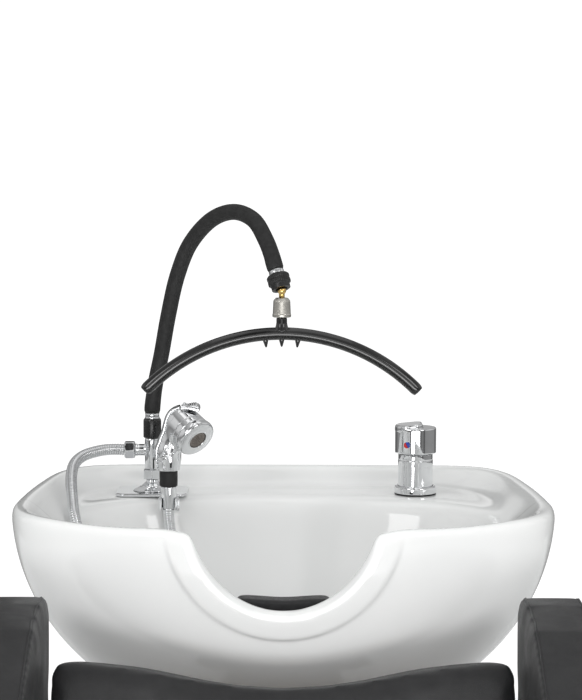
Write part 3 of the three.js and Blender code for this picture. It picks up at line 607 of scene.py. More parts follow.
def hull_side(x, y, z):
    """Distance outside the hull's flank, which narrows to its bottom along an ellipse."""
    depth = np.clip(RIM_Z - z, 0, HULL_BOTTOM + 8)
    scale = np.sqrt(np.maximum(1 - (depth / HULL_DEPTH) ** 2, 0.02))
    spread_y = HULL_CENTRE_Y + (y - HULL_CENTRE_Y) / scale
    around = outside_rim(x / scale, spread_y, 0, 0, 0) * scale
    slope = depth / HULL_DEPTH ** 2 / scale * 280
    return around / np.sqrt(1 + slope ** 2)


def hull_field(x, y, z, side):
    """The closed hull, with its rounded rim, before it is hollowed."""
    corner_rise = 2.0 * np.exp(-((np.abs(x) - 262) ** 2 + (y - 545) ** 2) / 70 ** 2)
    top = z - RIM_Z - 1.6 - corner_rise
    body = smooth_max(side, top, 15)
    return smooth_max(body, RIM_Z - HULL_BOTTOM - z, 16)


def recess_field(x, y, z):
    """The space over the tap deck, inside the rim."""
    drop = np.clip((RIM_Z - 3 - z) / (RIM_Z - 3 - DECK_Z), -0.6, 1.4)
    side = 20 + 23 * drop
    back = 20 + 7 * drop
    front = 20 + 4 * drop
    around = outside_rim(x, y, side, back, front)
    lean = np.clip((np.abs(x) - 150) / 120, 0, 1)
    return smooth_max(around / (1 + 0.45 * lean), DECK_Z - z, 14)


def bowl_field(x, y, z):
    """The bowl's hollow under the deck."""
    across = np.abs(x) / BOWL_HALF_WIDTH
    offset = y - BOWL_CENTRE_Y
    behind = offset > 0
    along = np.where(behind, offset / BOWL_BACK, -offset / BOWL_FRONT)
    power = np.where(behind, 2.45, 2.7)
    reach = np.maximum((across ** power + along ** power), 1e-9) ** (1 / power)
    rise = np.maximum((reach - 0.3) / 0.7, 0)
    floor = BOWL_FLOOR_Z + BOWL_RISE * rise ** 2.5
    steep = BOWL_RISE * 2.5 / 0.7 * rise ** 1.5
    unit = np.where(behind, 190.0, 205.0)
    return (floor - z) / np.sqrt(1 + (steep / unit) ** 2)


def notch_edge(x, z):
    """Distance outside the neck notch, an ellipse with its sides run straight up."""
    across = x / NOTCH_HALF_WIDTH
    down = np.minimum(z - NOTCH_CENTRE_Z, 0) / NOTCH_DEPTH
    reach = np.hypot(across, down)
    slope = np.hypot(across / NOTCH_HALF_WIDTH, down / NOTCH_DEPTH)
    return (reach - 1) * np.maximum(reach, 0.01) / np.maximum(slope, 1e-4)


def bead_field(x, y, z, side):
    """The rolled lip round the neck notch, a band that stands proud of the hull's face."""
    offset = notch_edge(x, z) - BEAD_HALF_WIDTH
    proud = 3.4 - 3.2 * np.clip((z - 882) / 44, 0, 1)
    band = smooth_max(np.abs(offset) - BEAD_HALF_WIDTH, side - proud, 5)
    band = smooth_max(band, z - RIM_Z + 1, 14)
    return np.maximum(band, y - 200)


def notch_field(x, y, z):
    """The neck notch: its floor falls away inwards, and its corners flare into the rim."""
    fall = 0.42 * np.clip(y - 88, 0, 70)
    edge = notch_edge(x, z + fall)
    flare = RIM_Z + 5 - z + 30 * np.clip((np.abs(x) - 112) / 40, 0, 1)
    return np.maximum(smooth_min(edge, flare, 12), y - 200)


def under_deck_field(x, y, z):
    """The open space behind the bowl, where the taps' shanks come through."""
    front = 472 - 22 * np.clip((np.abs(x) - 110) / 50, 0, 1)
    box = smooth_max(smooth_max(np.abs(x) - 205, front - y, 20), y - 536, 20)
    return smooth_max(box, z - (DECK_Z - 12), 16)


def basin_field(points):
    x, y, z = points[..., 0], points[..., 1], points[..., 2]
    side = hull_side(x, y, z)
    body = smooth_min(hull_field(x, y, z, side), bead_field(x, y, z, side), 2)
    hollow = smooth_min(recess_field(x, y, z), bowl_field(x, y, z), 20)
    hollow = smooth_min(hollow, notch_field(x, y, z), 16)
    body = smooth_max(body, -hollow, 13)
    holes = np.minimum(np.hypot(x - RISER_X, y - TAP_Y), np.hypot(x - MIXER_X, y - TAP_Y)) - 17
    holes = np.maximum(holes, 850 - z)
    drain = np.maximum(np.hypot(x, y - DRAIN_Y) - 30, z - 800)
    body = smooth_max(body, -np.minimum(holes, drain), 3)
    return smooth_max(body, -under_deck_field(x, y, z), 6)


def add_basin():
    cell = 3.0
    moulded("basin_ceramic", basin_field, (-320, 48, 664), (320, 590, 942), cell,
            CERAMIC, "basin_unit", ["basin"], "ceramic")


def add_neck_rest():
    """The gel saddle against the lip."""
    def field(points):
        x, y, z = points[..., 0], points[..., 1], points[..., 2]
        top = 846.5 - 1.0 * np.cos(np.pi * np.clip(x / 42, -1, 1))
        pad = smooth_max(np.abs(x) - 52, z - top, 9)
        pad = smooth_max(pad, 815 - z, 10)
        return smooth_max(smooth_max(pad, y - 151.5, 8), bowl_field(x, y, z) + 1.2, 6)

    moulded("neck_pad", field, (-58, 90, 806), (58, 158, 858), 1.6, GEL, "basin_unit",
            ["neck_rest"], "gel")


# Chrome fittings on the deck

def hexagon(across_flats):
    """A wave that turns a round piece into a hexagon with slightly rounded corners."""
    def wave(angle, r, z):
        local = (angle + math.pi / 6) % (math.pi / 3) - math.pi / 6
        flat = across_flats / 2 / math.cos(local)
        return min(r, flat)
    return wave


def add_mixer():
    place = (MIXER_X, TAP_Y, DECK_Z)
    turned("mixer_gasket", [(20, 0.3), (25.6, 0.3), (25.6, 1.6), (20, 1.6), (20, 0.3)],
           BLACK_RUBBER, "basin_unit", place=place, radius=0.3)
    turned("mixer_base", [(22, 1.7), (26, 1.7), (26, 9.2), (24.6, 11), (22, 11), (22, 1.7)],
           CHROME, "basin_unit", ["mixer_base_ring"], "chrome", place, radius=1.2)
    turned("mixer_column", [
        (0, -78), (14, -78), (14, 0.8), (21.7, 0.8), (21.3, 5), (21.3, 36), (21.6, 42.4),
        (20.9, 43.2), (21.2, 44.1), (21.2, 50), (20, 51), (17.8, 51), (17.8, 40), (0, 40),
    ], CHROME, "basin_unit", ["mixer_body"], "chrome", place, radius=0.5)
    pivot, radius = 51, 20.4
    dome = [(0, 40.4), (17.2, 40.4), (17.2, 52)]
    low = math.asin(1.4 / radius)
    for step in range(17):
        rise = low + step / 16 * (math.pi / 2 - low)
        dome.append((max(radius * math.cos(rise), 0), pivot + radius * math.sin(rise)))
    turned("cartridge_dome", dome, CHROME, "mixer_turn", ["mixer_cartridge"], "chrome", place, radius=0)
    add_mixer_knob()


def add_mixer_knob():
    """The lever: a deep cap, with a slanted paddle that stands up over its left half."""
    def field(points):
        x, y, z = points[..., 0] - MIXER_X, points[..., 1] - TAP_Y, points[..., 2] - DECK_Z
        around = np.hypot(x, y)
        cap = smooth_max(smooth_max(around - 25.3, z - 83.4, 2.2), 51.6 - z, 1.2)
        cap = smooth_max(cap, -np.maximum(around - 22.5, z - 79), 1.0)
        top = 89.2 + 0.10 * (x - 6)
        under = 82.0 + 0.10 * (x - 6)
        nose = np.hypot(np.maximum(x + 2, 0), np.maximum(np.abs(y + 3) - 9, 0)) - 10
        paddle = smooth_max(smooth_max(around - 25.5, nose, 3), z - top, 3)
        paddle = smooth_max(paddle, np.minimum(under, 83.5) - z, 1.5)
        return smooth_min(cap, paddle, 1.2)

    low = (MIXER_X - 28, TAP_Y - 28, DECK_Z + 48)
    high = (MIXER_X + 28, TAP_Y + 28, DECK_Z + 94)
    moulded("mixer_knob", field, low, high, 0.7, CHROME, "mixer_lift", ["mixer_lever"], "chrome")


def add_riser():
    place = (RISER_X, TAP_Y, DECK_Z)
    add_deck_plate()
    turned("escutcheon_dome", [
        (14.7, 4.3), (24, 4.3), (23.6, 5.4), (19, 7.2), (15.5, 9), (14.7, 9), (14.7, 4.3),
    ], CHROME, "basin_unit", ["escutcheon"], "chrome", place, radius=0.5)
    turned("riser_shank", [
        (0, -70), (14, -70), (14, 9.5), (11, 12), (8.2, 14.5), (7.6, 18), (0, 18),
    ], CHROME, "basin_unit", ["shank"], "chrome", place, radius=1.5)
    turned("riser_nut", [
        (7.3, 18.3), (10.2, 18.3), (11.8, 19.6), (11.8, 28.6), (10.2, 29.9), (7.3, 29.9), (7.3, 18.3),
    ], CHROME, "basin_unit", ["shank_nut"], "chrome", place, radius=0.7, wave=hexagon(20.6))
    column = turned_mesh([
        (0, 30.3), (8.6, 30.3), (9.2, 31.2), (9.2, 66.5), (8.6, 69), (0, 69),
    ], place, radius=0.8)
    outlet = (RISER_X, TAP_Y, DECK_Z + 54)
    branch = turned_mesh([
        (0, 4), (7.9, 7), (7.1, 10), (7.1, 17), (7.5, 19), (7.5, 21), (0, 21),
    ], outlet, (-1, 0, 0), radius=0.8)
    points, faces = joined(column, branch)
    mesh_object("riser_tee", points, faces, CHROME, "basin_unit", ["tee"], "chrome")
    turned("hose_nut", [
        (3.2, 21.3), (9.6, 21.3), (11.4, 22.8), (11.4, 32.2), (9.8, 34.2), (3.2, 34.2), (3.2, 21.3),
    ], CHROME, "basin_unit", ["outlet_nut"], "chrome", outlet, (-1, 0, 0), 0.7, wave=hexagon(20))


def add_deck_plate():
    low, high = node_box("deck_plate", 0)
    middle = (low + high) / 2
    half = (high - low) / 2

    def field(points):
        x, y, z = (points[..., i] - middle[i] for i in range(3))
        corner = 12
        dx, dy = np.abs(x) - half.x + corner, np.abs(y) - half.y + corner
        outline = np.hypot(np.maximum(dx, 0), np.maximum(dy, 0)) + np.minimum(np.maximum(dx, dy), 0)
        outline = outline - corner
        bore = 15 - np.hypot(points[..., 0] - RISER_X, points[..., 1] - TAP_Y)
        plate = smooth_max(outline, np.abs(z) - half.z, 2.2)
        return smooth_max(plate, bore, 1)

    moulded("riser_plate", field, *node_box("deck_plate", 2), 0.8,
            CHROME, "basin_unit", ["deck_plate"], "chrome")


def add_holder():
    """The arm and open fork that the handset stands in."""
    low = DECK_Z - 11

    def field(points):
        x, y, z = points[..., 0] - HANDSET_X, points[..., 1] - HANDSET_Y, points[..., 2]
        around = np.hypot(x, y)
        cup = smooth_max(smooth_max(around - 12.6, z - DECK_Z - 4, 2), low - z, 2)
        arm = smooth_max(smooth_max(np.abs(x) - 6, np.abs(z - DECK_Z - 2.2) - 1.8, 1.5), y - 25.5, 1)
        arm = np.maximum(arm, 9 - y)
        tab_z = z - low
        tab = smooth_max(smooth_max(np.abs(x - 12.2) - 1.5, np.abs(y + 6) - 3.6, 1), tab_z - 14, 2)
        tab = np.maximum(tab, -tab_z)
        bore = around - (8.3 + 2.1 * np.clip((z - low) / 15, 0, 1))
        mouth = np.maximum(np.abs(x) - 7.8, y)
        body = smooth_min(smooth_min(cup, arm, 3), tab, 1.5)
        return smooth_max(body, -np.minimum(bore, mouth), 1.2)

    moulded("handset_fork", field, (HANDSET_X - 16, HANDSET_Y - 16, low - 3),
            (HANDSET_X + 16, HANDSET_Y + 28, DECK_Z + 7), 0.7,
            CHROME, "basin_unit", ["handset_holder"], "chrome")


# Gooseneck, ball and arch

GOOSENECK = [
    (-162, 487, 1006), (-161.8, 487, 1013), (-158, 485.5, 1042), (-150, 479, 1080),
    (-141, 467, 1128), (-129, 451, 1178), (-112, 433, 1218), (-84, 411, 1248),
    (-58, 393, 1256), (-36, 376, 1247), (-22, 360.5, 1225), (-14.9, 349.6, 1207.7),
    (-12.3, 345.8, 1198.8), (-9.6, 342, 1190),
]
NECK_DIRECTION = Vector((2.65, -3.79, -8.84)).normalized()
NECK_END = Vector(GOOSENECK[-1])
BALL = NECK_END + 26 * NECK_DIRECTION


def fluted(count, depth):
    """A wave of fine flutes round a turned piece, on its widest part only."""
    def wave(angle, r, z):
        if r < 13:
            return r
        return r - depth * (0.5 + 0.5 * math.cos(count * angle))
    return wave


def add_gooseneck():
    foot = (RISER_X, TAP_Y, DECK_Z)
    turned("swivel_sleeve", [
        (0, 69.3), (10.4, 69.3), (11, 70.4), (11, 90.5), (10.2, 93), (0, 93),
    ], COLLAR_PLASTIC, "neck_arm", ["swivel_collar"], "black_plastic", foot, radius=0.8)
    turned("neck_ferrule", [
        (0, 93.3), (9.2, 93.3), (9.2, 94.6), (8.6, 95.2), (8.6, 98.2), (9.0, 99.7), (0, 99.7),
    ], CHROME, "neck_arm", ["lower_ferrule"], "chrome", foot, radius=0.4)
    line = spline(GOOSENECK, 3)
    share = np.linspace(0, 1, len(line))
    end_grip = 0.55 * np.exp(-((share - 0.02) / 0.025) ** 2) + 0.45 * np.exp(-((share - 0.98) / 0.02) ** 2)
    radii = 9.55 + 0.45 * np.minimum(end_grip * 1.6, 1)
    radii[0] -= 0.9
    radii[-1] -= 0.9
    points, faces = swept_mesh(line, radii, 48)
    mesh_object("neck_hose", points, faces, NECK_RUBBER, "neck_arm", ["gooseneck"], "gooseneck_rubber")
    turned("nut_ferrule", [
        (0, 0.6), (8.4, 0.6), (9, 1.4), (9, 5), (8.4, 6), (0, 6),
    ], CHROME, "neck_arm", ["upper_ferrule"], "chrome", NECK_END, NECK_DIRECTION, 0.5)
    nut_place = NECK_END + 6.3 * NECK_DIRECTION
    turned("socket_nut", [
        (0, 0), (11.6, 0), (13.4, 1.8), (13.4, 5), (12.5, 5.6), (12.5, 6.4), (13.4, 7), (13.4, 11),
        (11.2, 12.8), (11, 18), (7.2, 18), (5.8, 14.2), (0, 14.2),
    ], NUT_PLASTIC, "neck_arm", ["ball_nut"], "black_plastic", nut_place, NECK_DIRECTION, 0.5,
        sides=288, wave=fluted(36, 0.5))


def add_ball():
    profile = [(0, -8), (3.4, -8), (3.4, -4.6)]
    for step in range(13):
        turn = math.radians(-48 + step * 138 / 12)
        profile.append((max(5.1 * math.cos(turn), 0), 5.1 * math.sin(turn)))
    turned("ball_stud", profile, BRASS, "ball", ["brass_ball"], "brass", BALL, radius=0)


def add_arch():
    place = (BALL.x, BALL.y, 0)
    top = BALL.z - 8.3
    turned("arch_coupling", [
        (0, 1136), (10.3, 1136), (10.9, 1137), (10.9, 1139.5), (10.5, 1140.2), (9.9, top - 5),
        (9.7, top - 3), (7, top), (0, top),
    ], NICKEL, "arch", ["coupling"], "nickel", place, radius=0.6)
    half_chord, radius = 159.0, 222.0
    reach = math.asin(half_chord / radius)
    centre = 1117 - radius
    turns = np.linspace(-reach, reach, 140)
    line = np.stack([BALL.x + radius * np.sin(turns), np.full(140, BALL.y),
                     centre + radius * np.cos(turns)], 1)
    radii = np.full(140, 7.5)
    for i, shrink in enumerate((1.3, 0.35)):
        radii[i] -= shrink
        radii[-1 - i] -= shrink
    bow = swept_mesh(line, radii, 40)
    stem = turned_mesh([(0, 1112), (9.4, 1120), (7.2, 1125), (6.3, 1129), (6.2, 1135.6), (0, 1135.6)],
                       place, radius=1.5, sides=48)
    parts = [bow, stem]
    for offset in (-19.3, 0, 19.3):
        turn = math.asin(offset / radius)
        spot = (BALL.x + offset, BALL.y, centre + radius * math.cos(turn))
        down = (-math.sin(turn), 0, -math.cos(turn))
        parts.append(turned_mesh([(0, 4), (3.4, 4), (2.9, 8.5), (1.2, 14.6), (0.6, 15.4), (0, 15.5)],
                                 spot, down, 0.4, 32))
    points, faces = joined(*parts)
    mesh_object("arch_tube", points, faces, BLACK_GLOSS, "arch", ["rinse_arch"], "black_gloss")


# Handset

def capsule(p, a, b, ra, rb=None):
    """Distance outside a rod from a to b, tapering from ra to rb."""
    a, b = np.array(a, float), np.array(b, float)
    along = b - a
    share = np.clip(((p - a) @ along) / (along @ along), 0, 1)
    rb = ra if rb is None else rb
    return np.linalg.norm(p - a - share[..., None] * along, axis=-1) - (ra + (rb - ra) * share)


def plug(p, centre, direction, low, high, r_low, r_high):
    """How far points are along an axis, from the axis, and outside a cone round it."""
    direction = np.array(Vector(direction).normalized())
    offset = p - np.array(centre, float)
    along = offset @ direction
    around = np.linalg.norm(offset - along[..., None] * direction, axis=-1)
    share = np.clip((along - low) / (high - low), 0, 1)
    side = around - (r_low + (r_high - r_low) * share)
    return along, around, side


HEAD_FACING = Vector((0.56, -0.62, -0.53)).normalized()
HEAD = (17.5, 0.0, 1000.0)


def bend_distance(p, line, radius):
    """Distance outside a rod of one radius along a line of points."""
    return np.minimum.reduce([capsule(p, a, b, radius) for a, b in zip(line, line[1:])])


def handset_field(points):
    """The casting: an upright barrel that bends into the drum of the head, with its seams."""
    p = points - np.array([HANDSET_X, HANDSET_Y, 0.0])
    x, y, z = p[..., 0], p[..., 1], p[..., 2]
    around = np.hypot(x, y)
    width = 13.7 + 0.5 * np.clip((z - 943) / 5, 0, 1)
    barrel = smooth_max(smooth_max(around - width, 943 - z, 1.6), z - 974, 12)
    bend = bend_distance(p, [(0, 0, 958), (0.6, 0, 968), (2.4, 0, 978), (7, 0, 988), HEAD], 13.5)
    along, radial, side = plug(p, HEAD, HEAD_FACING, -4, 21.7, 21.0, 23.3)
    back = np.hypot(np.minimum(along + 1, 0), radial) - 20.2
    drum = smooth_max(np.where(along < -1, back, side), along - 21.7, 1.2)
    body = smooth_min(smooth_min(barrel, bend, 6), drum, 7)
    ring_seam = np.maximum(np.abs(along - 13.5) - 0.45, 19 - radial)
    collar = np.abs(z - 966 - 0.55 * x + 0.25 * np.abs(y)) - 0.4
    collar = np.maximum(np.maximum(collar, 10 - around), np.abs(x) - 15.5)
    body = smooth_max(body, -np.maximum(ring_seam, -body - 0.8), 0.4)
    body = smooth_max(body, -np.maximum(collar, -body - 0.6), 0.4)
    for height in (948.5, 965):
        screw = np.hypot(x + 4.5, z - height) - 1.5
        body = smooth_max(body, -np.maximum(screw, y + 11.5), 0.4)
    return body


def head_field(points):
    p = points - np.array([HANDSET_X, HANDSET_Y, 0.0])
    along, around, side = plug(p, HEAD, HEAD_FACING, 22, 26, 23.5, 24.5)
    ring = smooth_max(side, 22 - along, 1)
    ring = smooth_max(ring, along - 33 + 0.006 * np.maximum(around - 12, 0) ** 2, 4.5)
    lip = np.hypot(along - 32.4, around - 11.8) - 1.1
    pit = np.maximum(around - 11.3, 30.6 - along)
    return smooth_max(smooth_min(ring, lip, 1.0), -pit, 0.6)


def add_handset():
    turned("hose_ferrule", [
        (7.3, 898), (8.3, 898), (9.8, 914), (9.8, 922.6), (9.2, 923.7), (7.3, 923.7), (7.3, 898),
    ], CHROME, "handset", ["handset_ferrule"], "chrome", (HANDSET_X, HANDSET_Y, 0), radius=0.5)
    turned("grip_sleeve", [
        (7.3, 924), (10.6, 924), (11, 925.2), (11, 941.6), (10.6, 942.7), (7.3, 942.7), (7.3, 924),
    ], BLACK_RUBBER, "handset", ["handset_sleeve"], "black_rubber", (HANDSET_X, HANDSET_Y, 0), radius=0.6)
    moulded("handset_casting", handset_field, (HANDSET_X - 18, HANDSET_Y - 38, 938),
            (HANDSET_X + 62, HANDSET_Y + 28, 1030), 0.9, CHROME, "handset", ["handset_body"], "chrome")
    middle = Vector((HANDSET_X, HANDSET_Y, 0)) + Vector(HEAD)
    front = middle + 27 * HEAD_FACING
    moulded("spray_bell", head_field, front - Vector((28, 28, 28)), front + Vector((28, 28, 28)),
            0.8, CHROME, "handset", ["spray_head"], "chrome")
    nozzle = [(0, 30.8), (10.9, 30.8), (10.9, 32.2), (10.2, 32.8), (7.5, 32.5), (0, 32.3)]
    parts = [turned_mesh(nozzle, middle, HEAD_FACING, 0.4, 64)]
    turn = axis_frame(HEAD_FACING)
    for count, reach in ((1, 0), (6, 3.2), (12, 6.4)):
        for i in range(count):
            angle = 2 * math.pi * i / count
            offset = turn @ Vector((reach * math.cos(angle), reach * math.sin(angle), 32.0))
            parts.append(turned_mesh([(0, 0), (0.75, 0), (0.6, 1.0), (0.3, 1.15), (0, 1.15)],
                                     middle + offset, HEAD_FACING, 0, 10))
    points, faces = joined(*parts)
    mesh_object("spray_plate", points, faces, SPRAY_RUBBER, "handset", ["spray_face"], "spray_rubber")
    add_strap()
    add_lever()


def plate_distance(x, z, outline, width):
    """Distance outside a flat outline in X and Z that turns left all the way round."""
    inside = np.full(x.shape, -1e3)
    for (x0, z0), (x1, z1) in zip(outline, outline[1:] + outline[:1]):
        length = math.hypot(x1 - x0, z1 - z0)
        edge = ((z1 - z0) * (x - x0) - (x1 - x0) * (z - z0)) / length
        inside = smooth_max(inside, edge, width)
    return inside


def add_strap():
    """The bright band that runs up the handset's back and over its head."""
    def field(points):
        x, y, z = points[..., 0] - HANDSET_X, points[..., 1] - HANDSET_Y, points[..., 2]
        skin = handset_field(points)
        band = np.maximum(np.abs(skin - 1.2) - 0.85, np.abs(y) - 8)
        band = smooth_max(band, 944.2 - z, 0.8)
        right = x - np.clip((z - 985) / 35, 0, 1) * 26 + 3
        return smooth_max(band, right, 1.0)

    moulded("back_band", field, *node_box("handset_strap", 2), 0.55,
            CHROME, "handset", ["handset_strap"], "chrome")


LEVER_SIDE = [
    (14.5, 1019.5), (14.5, 1014), (20, 1011.5), (35, 1013.5), (38.4, 1017.5), (37.5, 1022),
    (33, 1024.6), (26, 1023.8),
]


def add_lever():
    """The thumb lever: a ribbed pad with a cheek on each side down to its pivot."""
    def field(points):
        x, y, z = points[..., 0] - HANDSET_X, points[..., 1] - HANDSET_Y, points[..., 2]
        pad = plate_distance(x, z, LEVER_SIDE, 1.2)
        ribs = np.clip((x - 21) / 2, 0, 1) * np.clip((z - 1021) / 2, 0, 1)
        pad = pad + 0.25 * np.cos(x * 2 * np.pi / 2.6) * ribs
        pad = smooth_max(pad, np.abs(y) - 15, 2.5)
        link = capsule(np.stack([x, np.zeros_like(x), z], -1), (18, 0, 1013), (19, 0, 1020), 3.2, 4.0)
        cheek = smooth_max(link, np.abs(np.abs(y) - 13.5) - 1.5, 1)
        lever = smooth_min(pad, cheek, 1.5)
        return smooth_max(lever, 3.0 - handset_field(points), 0.8)

    moulded("lever_pad", field, *node_box("thumb_lever", 4), 0.6,
            CHROME, "trigger", ["thumb_lever"], "chrome")


def soften(piece, width):
    """A small bevel on a piece's sharp edges."""
    bevel = piece.modifiers.new("bevel", "BEVEL")
    bevel.width = width
    bevel.segments = 3
    bevel.limit_method = "ANGLE"
    bevel.angle_limit = math.radians(35)


# Upholstery

def cushion(name, node, body, shrink, cap):
    """A cushion swollen from a CAD solid by a short cloth simulation."""
    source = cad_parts[node]
    mesh = source.data.copy()
    mesh.materials.clear()
    piece = bpy.data.objects.new(name, mesh)
    bpy.context.scene.collection.objects.link(piece)
    points = np.array([v.co for v in mesh.vertices])
    middle = (points.min(0) + points.max(0)) / 2
    half = (points.max(0) - points.min(0)) / 2
    mesh.vertices.foreach_set("co", (middle + (points - middle) * (1 - shrink / half)).ravel())
    make_only(piece)
    remesh = piece.modifiers.new("remesh", "REMESH")
    remesh.mode = "VOXEL"
    remesh.voxel_size = 0.0055
    bpy.ops.object.modifier_apply(modifier="remesh")
    smooth = piece.modifiers.new("smooth", "SMOOTH")
    smooth.factor = 0.5
    smooth.iterations = 2
    bpy.ops.object.modifier_apply(modifier="smooth")
    inflate(piece, cap)
    detail = piece.modifiers.new("detail", "SUBSURF")
    detail.levels = 1
    detail.render_levels = 1
    bpy.ops.object.modifier_apply(modifier="detail")
    dress(piece, VINYL, body, [node], "vinyl")
    return piece


def make_only(piece):
    bpy.ops.object.select_all(action="DESELECT")
    bpy.context.view_layer.objects.active = piece
    piece.select_set(True)


def inflate(piece, cap):
    """Blows the piece up under pressure for twenty frames, and caps how far it moves."""
    before = np.array([v.co for v in piece.data.vertices])
    cloth = piece.modifiers.new("cloth", "CLOTH")
    settings = cloth.settings
    settings.use_pressure = True
    settings.uniform_pressure_force = 4.0
    settings.effector_weights.gravity = 0
    settings.tension_stiffness = 30
    settings.compression_stiffness = 30
    settings.bending_stiffness = 4
    settings.quality = 4
    cloth.point_cache.frame_start = 1
    cloth.point_cache.frame_end = 20
    for number in range(1, 21):
        bpy.context.scene.frame_set(number)
    shaped = piece.evaluated_get(bpy.context.evaluated_depsgraph_get())
    after = np.array([v.co for v in shaped.data.vertices])
    move = after - before
    length = np.linalg.norm(move, axis=1)
    soft = cap * np.tanh(length / cap)
    after = before + move * (soft / np.maximum(length, 1e-9))[:, None]
    piece.modifiers.remove(cloth)
    piece.data.vertices.foreach_set("co", after.ravel())
    piece.data.update()
    bpy.context.scene.frame_set(1)


def seam(name, piece, line, body, radius=1.1):
    """A row of piping laid on a cushion's skin along a line in millimetres."""
    tree = BVHTree.FromObject(piece, bpy.context.evaluated_depsgraph_get())
    laid = []
    for point in spline(line, 6):
        place, normal, _, _ = tree.find_nearest(Vector(point * MM))
        laid.append((place + normal * 0.0002) / MM)
    points, faces = swept_mesh(spline(laid, 4), radius, 10)
    mesh_object(name, points, faces, VINYL, body, slot="vinyl")


ARM_SIDE = [
    (-575, 560), (-580, 590), (-574, 612), (-556, 628), (-520, 640), (-300, 706), (-127, 795),
    (-20, 849), (54, 860), (92, 860), (108, 856), (119, 849), (122, 834), (112, 700), (84, 520),
    (50, 400), (20, 372), (-20, 362), (-470, 362), (-520, 378), (-556, 420), (-572, 480),
    (-575, 560),
]


def add_upholstery():
    cushion("seat_pad", "seat_cushion", "root", 0.004, 0.008)
    cushion("back_pad", "back_cushion", "root", 0.002, 0.004)
    for side, sign in (("left", -1), ("right", 1)):
        arm = cushion(f"arm_pad_{side}", f"arm_{side}", "root", 0.0015, 0.003)
        for number, x in enumerate((ARM_INNER_X + 5, ARM_OUTER_X - 3)):
            line = [(sign * x, y, z) for y, z in ARM_SIDE]
            seam(f"arm_piping_{side}_{number}", arm, line, "root")


# Stand

def finish_cad():
    """Materials and soft edges for the CAD nodes that keep their own shape."""
    looks = {
        "drain_flange": (STAINLESS, 0.0004), "strainer": (STAINLESS, 0.0003),
        "drain_nut": (WHITE_PLASTIC, 0.001), "tail_pipe": (WHITE_PLASTIC, 0.0006),
        "hinge_pin": (STAINLESS, 0.0008), "inner_post": (STEEL_PAINT, 0.002),
        "base_plate": (STEEL_PAINT, 0.002), "seat_pedestal": (STEEL_PAINT, 0.003),
        "seat_board": (PLYWOOD, 0.001), "back_board": (PLYWOOD, 0.001),
        "mixer_lock_nut": (BRASS, 0.0008), "shank_lock_nut": (BRASS, 0.0008),
        "indicator_hot": (HOT_RED, 0.0002), "indicator_cold": (COLD_BLUE, 0.0002),
        "pedestal_shell": (COVER_GLOSS, 0.0015), "rear_cover": (COVER_GLOSS, 0.001),
    }
    for node in ("cradle", "tilt_bracket", "tilt_lever"):
        looks[node] = (STEEL_PAINT, 0.001)
    for side in ("left", "right"):
        looks[f"back_strut_{side}"] = (STEEL_PAINT, 0.001)
        looks[f"arm_bracket_{side}"] = (STEEL_PAINT, 0.001)
        looks[f"glide_front_{side}"] = (BLACK_RUBBER, 0.001)
        looks[f"glide_rear_{side}"] = (BLACK_RUBBER, 0.001)
    for node, (material, width) in looks.items():
        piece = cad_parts[node]
        piece.data.materials.clear()
        piece.data.materials.append(material)
        soften(piece, width)


# Studio

def area_light(name, place, target, size, power, size_y=None):
    data = bpy.data.lights.new(name, "AREA")
    data.shape = "RECTANGLE"
    data.size = size
    data.size_y = size_y or size
    data.energy = power
    light = bpy.data.objects.new(name, data)
    bpy.context.scene.collection.objects.link(light)
    light.location = place
    light.rotation_euler = (Vector(target) - Vector(place)).to_track_quat("-Z", "Y").to_euler()


def grey_ramp(tree, output, stops):
    """Greys spread over a value that runs from -1 to 1."""
    spread = tree.nodes.new("ShaderNodeMapRange")
    spread.inputs["From Min"].default_value = -1
    ramp = tree.nodes.new("ShaderNodeValToRGB")
    while len(ramp.color_ramp.elements) < len(stops):
        ramp.color_ramp.elements.new(0.5)
    for element, (place, grey) in zip(ramp.color_ramp.elements, stops):
        element.position = (place + 1) / 2
        element.color = (grey, grey, grey, 1)
    tree.links.new(output, spread.inputs["Value"])
    tree.links.new(spread.outputs["Result"], ramp.inputs["Fac"])
    return ramp.outputs["Color"]


def mixed(tree, share, first, second, blend="MIX"):
    """Two colours mixed. Each is an output or a plain grey."""
    mix = tree.nodes.new("ShaderNodeMix")
    mix.data_type = "RGBA"
    mix.blend_type = blend
    if share is None:
        mix.inputs["Factor"].default_value = 1
    else:
        tree.links.new(share, mix.inputs["Factor"])
    for place, colour in ((6, first), (7, second)):
        if isinstance(colour, tuple):
            mix.inputs[place].default_value = (*colour, 1)
        else:
            tree.links.new(colour, mix.inputs[place])
    return mix.outputs[2]


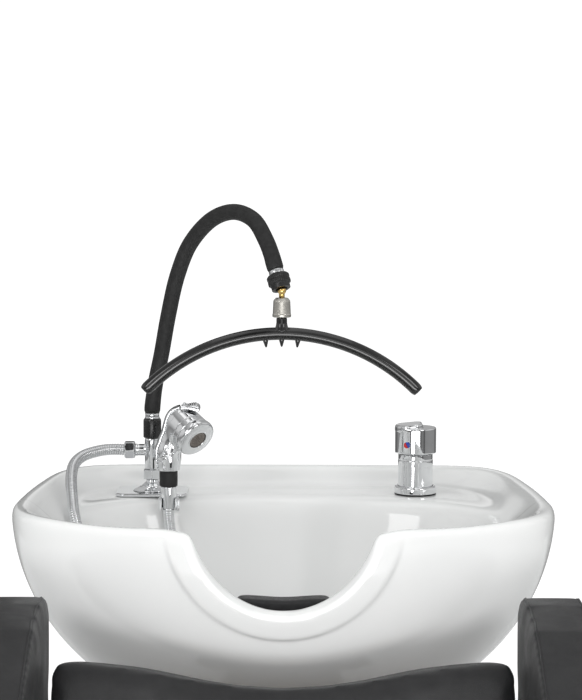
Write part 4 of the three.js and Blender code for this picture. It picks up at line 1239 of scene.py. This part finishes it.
def add_world():
    """A white backdrop. Mirrored rays meet a grey studio with dark panels between bright ones."""
    world = bpy.data.worlds.new("studio")
    world.use_nodes = True
    bpy.context.scene.world = world
    tree = world.node_tree
    path = tree.nodes.new("ShaderNodeLightPath")
    coordinates = tree.nodes.new("ShaderNodeTexCoord")
    split = tree.nodes.new("ShaderNodeSeparateXYZ")
    tree.links.new(coordinates.outputs["Generated"], split.inputs["Vector"])
    heights = grey_ramp(tree, split.outputs["Z"], [
        (-1, 0.6), (-0.3, 0.45), (-0.06, 0.3), (0.02, 0.5), (0.2, 0.8), (0.6, 0.95), (1, 1.0),
    ])
    sides = grey_ramp(tree, split.outputs["X"], [
        (-1, 0.85), (-0.82, 0.8), (-0.74, 0.3), (-0.5, 0.52), (-0.22, 0.6), (-0.17, 0.04),
        (-0.06, 0.04), (-0.02, 0.95), (0.1, 0.5), (0.45, 0.42), (0.62, 0.7), (0.72, 0.2),
        (0.8, 0.8), (1, 0.85),
    ])
    mirrored = mixed(tree, None, heights, sides, "MULTIPLY")
    unseen = mixed(tree, path.outputs["Is Glossy Ray"], (0.66, 0.67, 0.67), mirrored)
    colour = mixed(tree, path.outputs["Is Camera Ray"], unseen, (1.1, 1.1, 1.1))
    tree.links.new(colour, tree.nodes["Background"].inputs["Color"])


def add_studio():
    bpy.ops.mesh.primitive_plane_add(size=5.8, location=(0, 0, 0))
    floor = bpy.context.object
    floor.name = "floor"
    m = Nodes("floor_paper")
    m.mottled(4, 3, (0.90, 0.90, 0.90), (0.93, 0.93, 0.93), 0.3, 0.7)
    m.set(Roughness=0.7)
    floor.data.materials.append(m.material)

    add_world()
    target = (0, 0.3, 0.95)
    area_light("key_left", (-1.5, -1.5, 2.0), target, 0.8, 7)
    area_light("key_right", (1.5, -1.5, 2.0), target, 0.8, 7)
    area_light("top", (0, 0.2, 2.9), (0, 0.3, 0.9), 1.8, 6)
    area_light("front", (0, -3.2, 1.5), target, 2.2, 9, 1.2)
    area_light("low_front", (0, -2.6, 0.3), (0, 0.1, 0.8), 2.6, 36, 0.7)
    scene = bpy.context.scene
    scene.view_settings.view_transform = "Standard"
    scene.view_settings.look = "None"


add_camera()
add_hose()
add_basin()
add_neck_rest()
add_mixer()
add_riser()
add_holder()
add_gooseneck()
add_ball()
add_arch()
add_handset()
add_upholstery()
finish_cad()
add_studio()
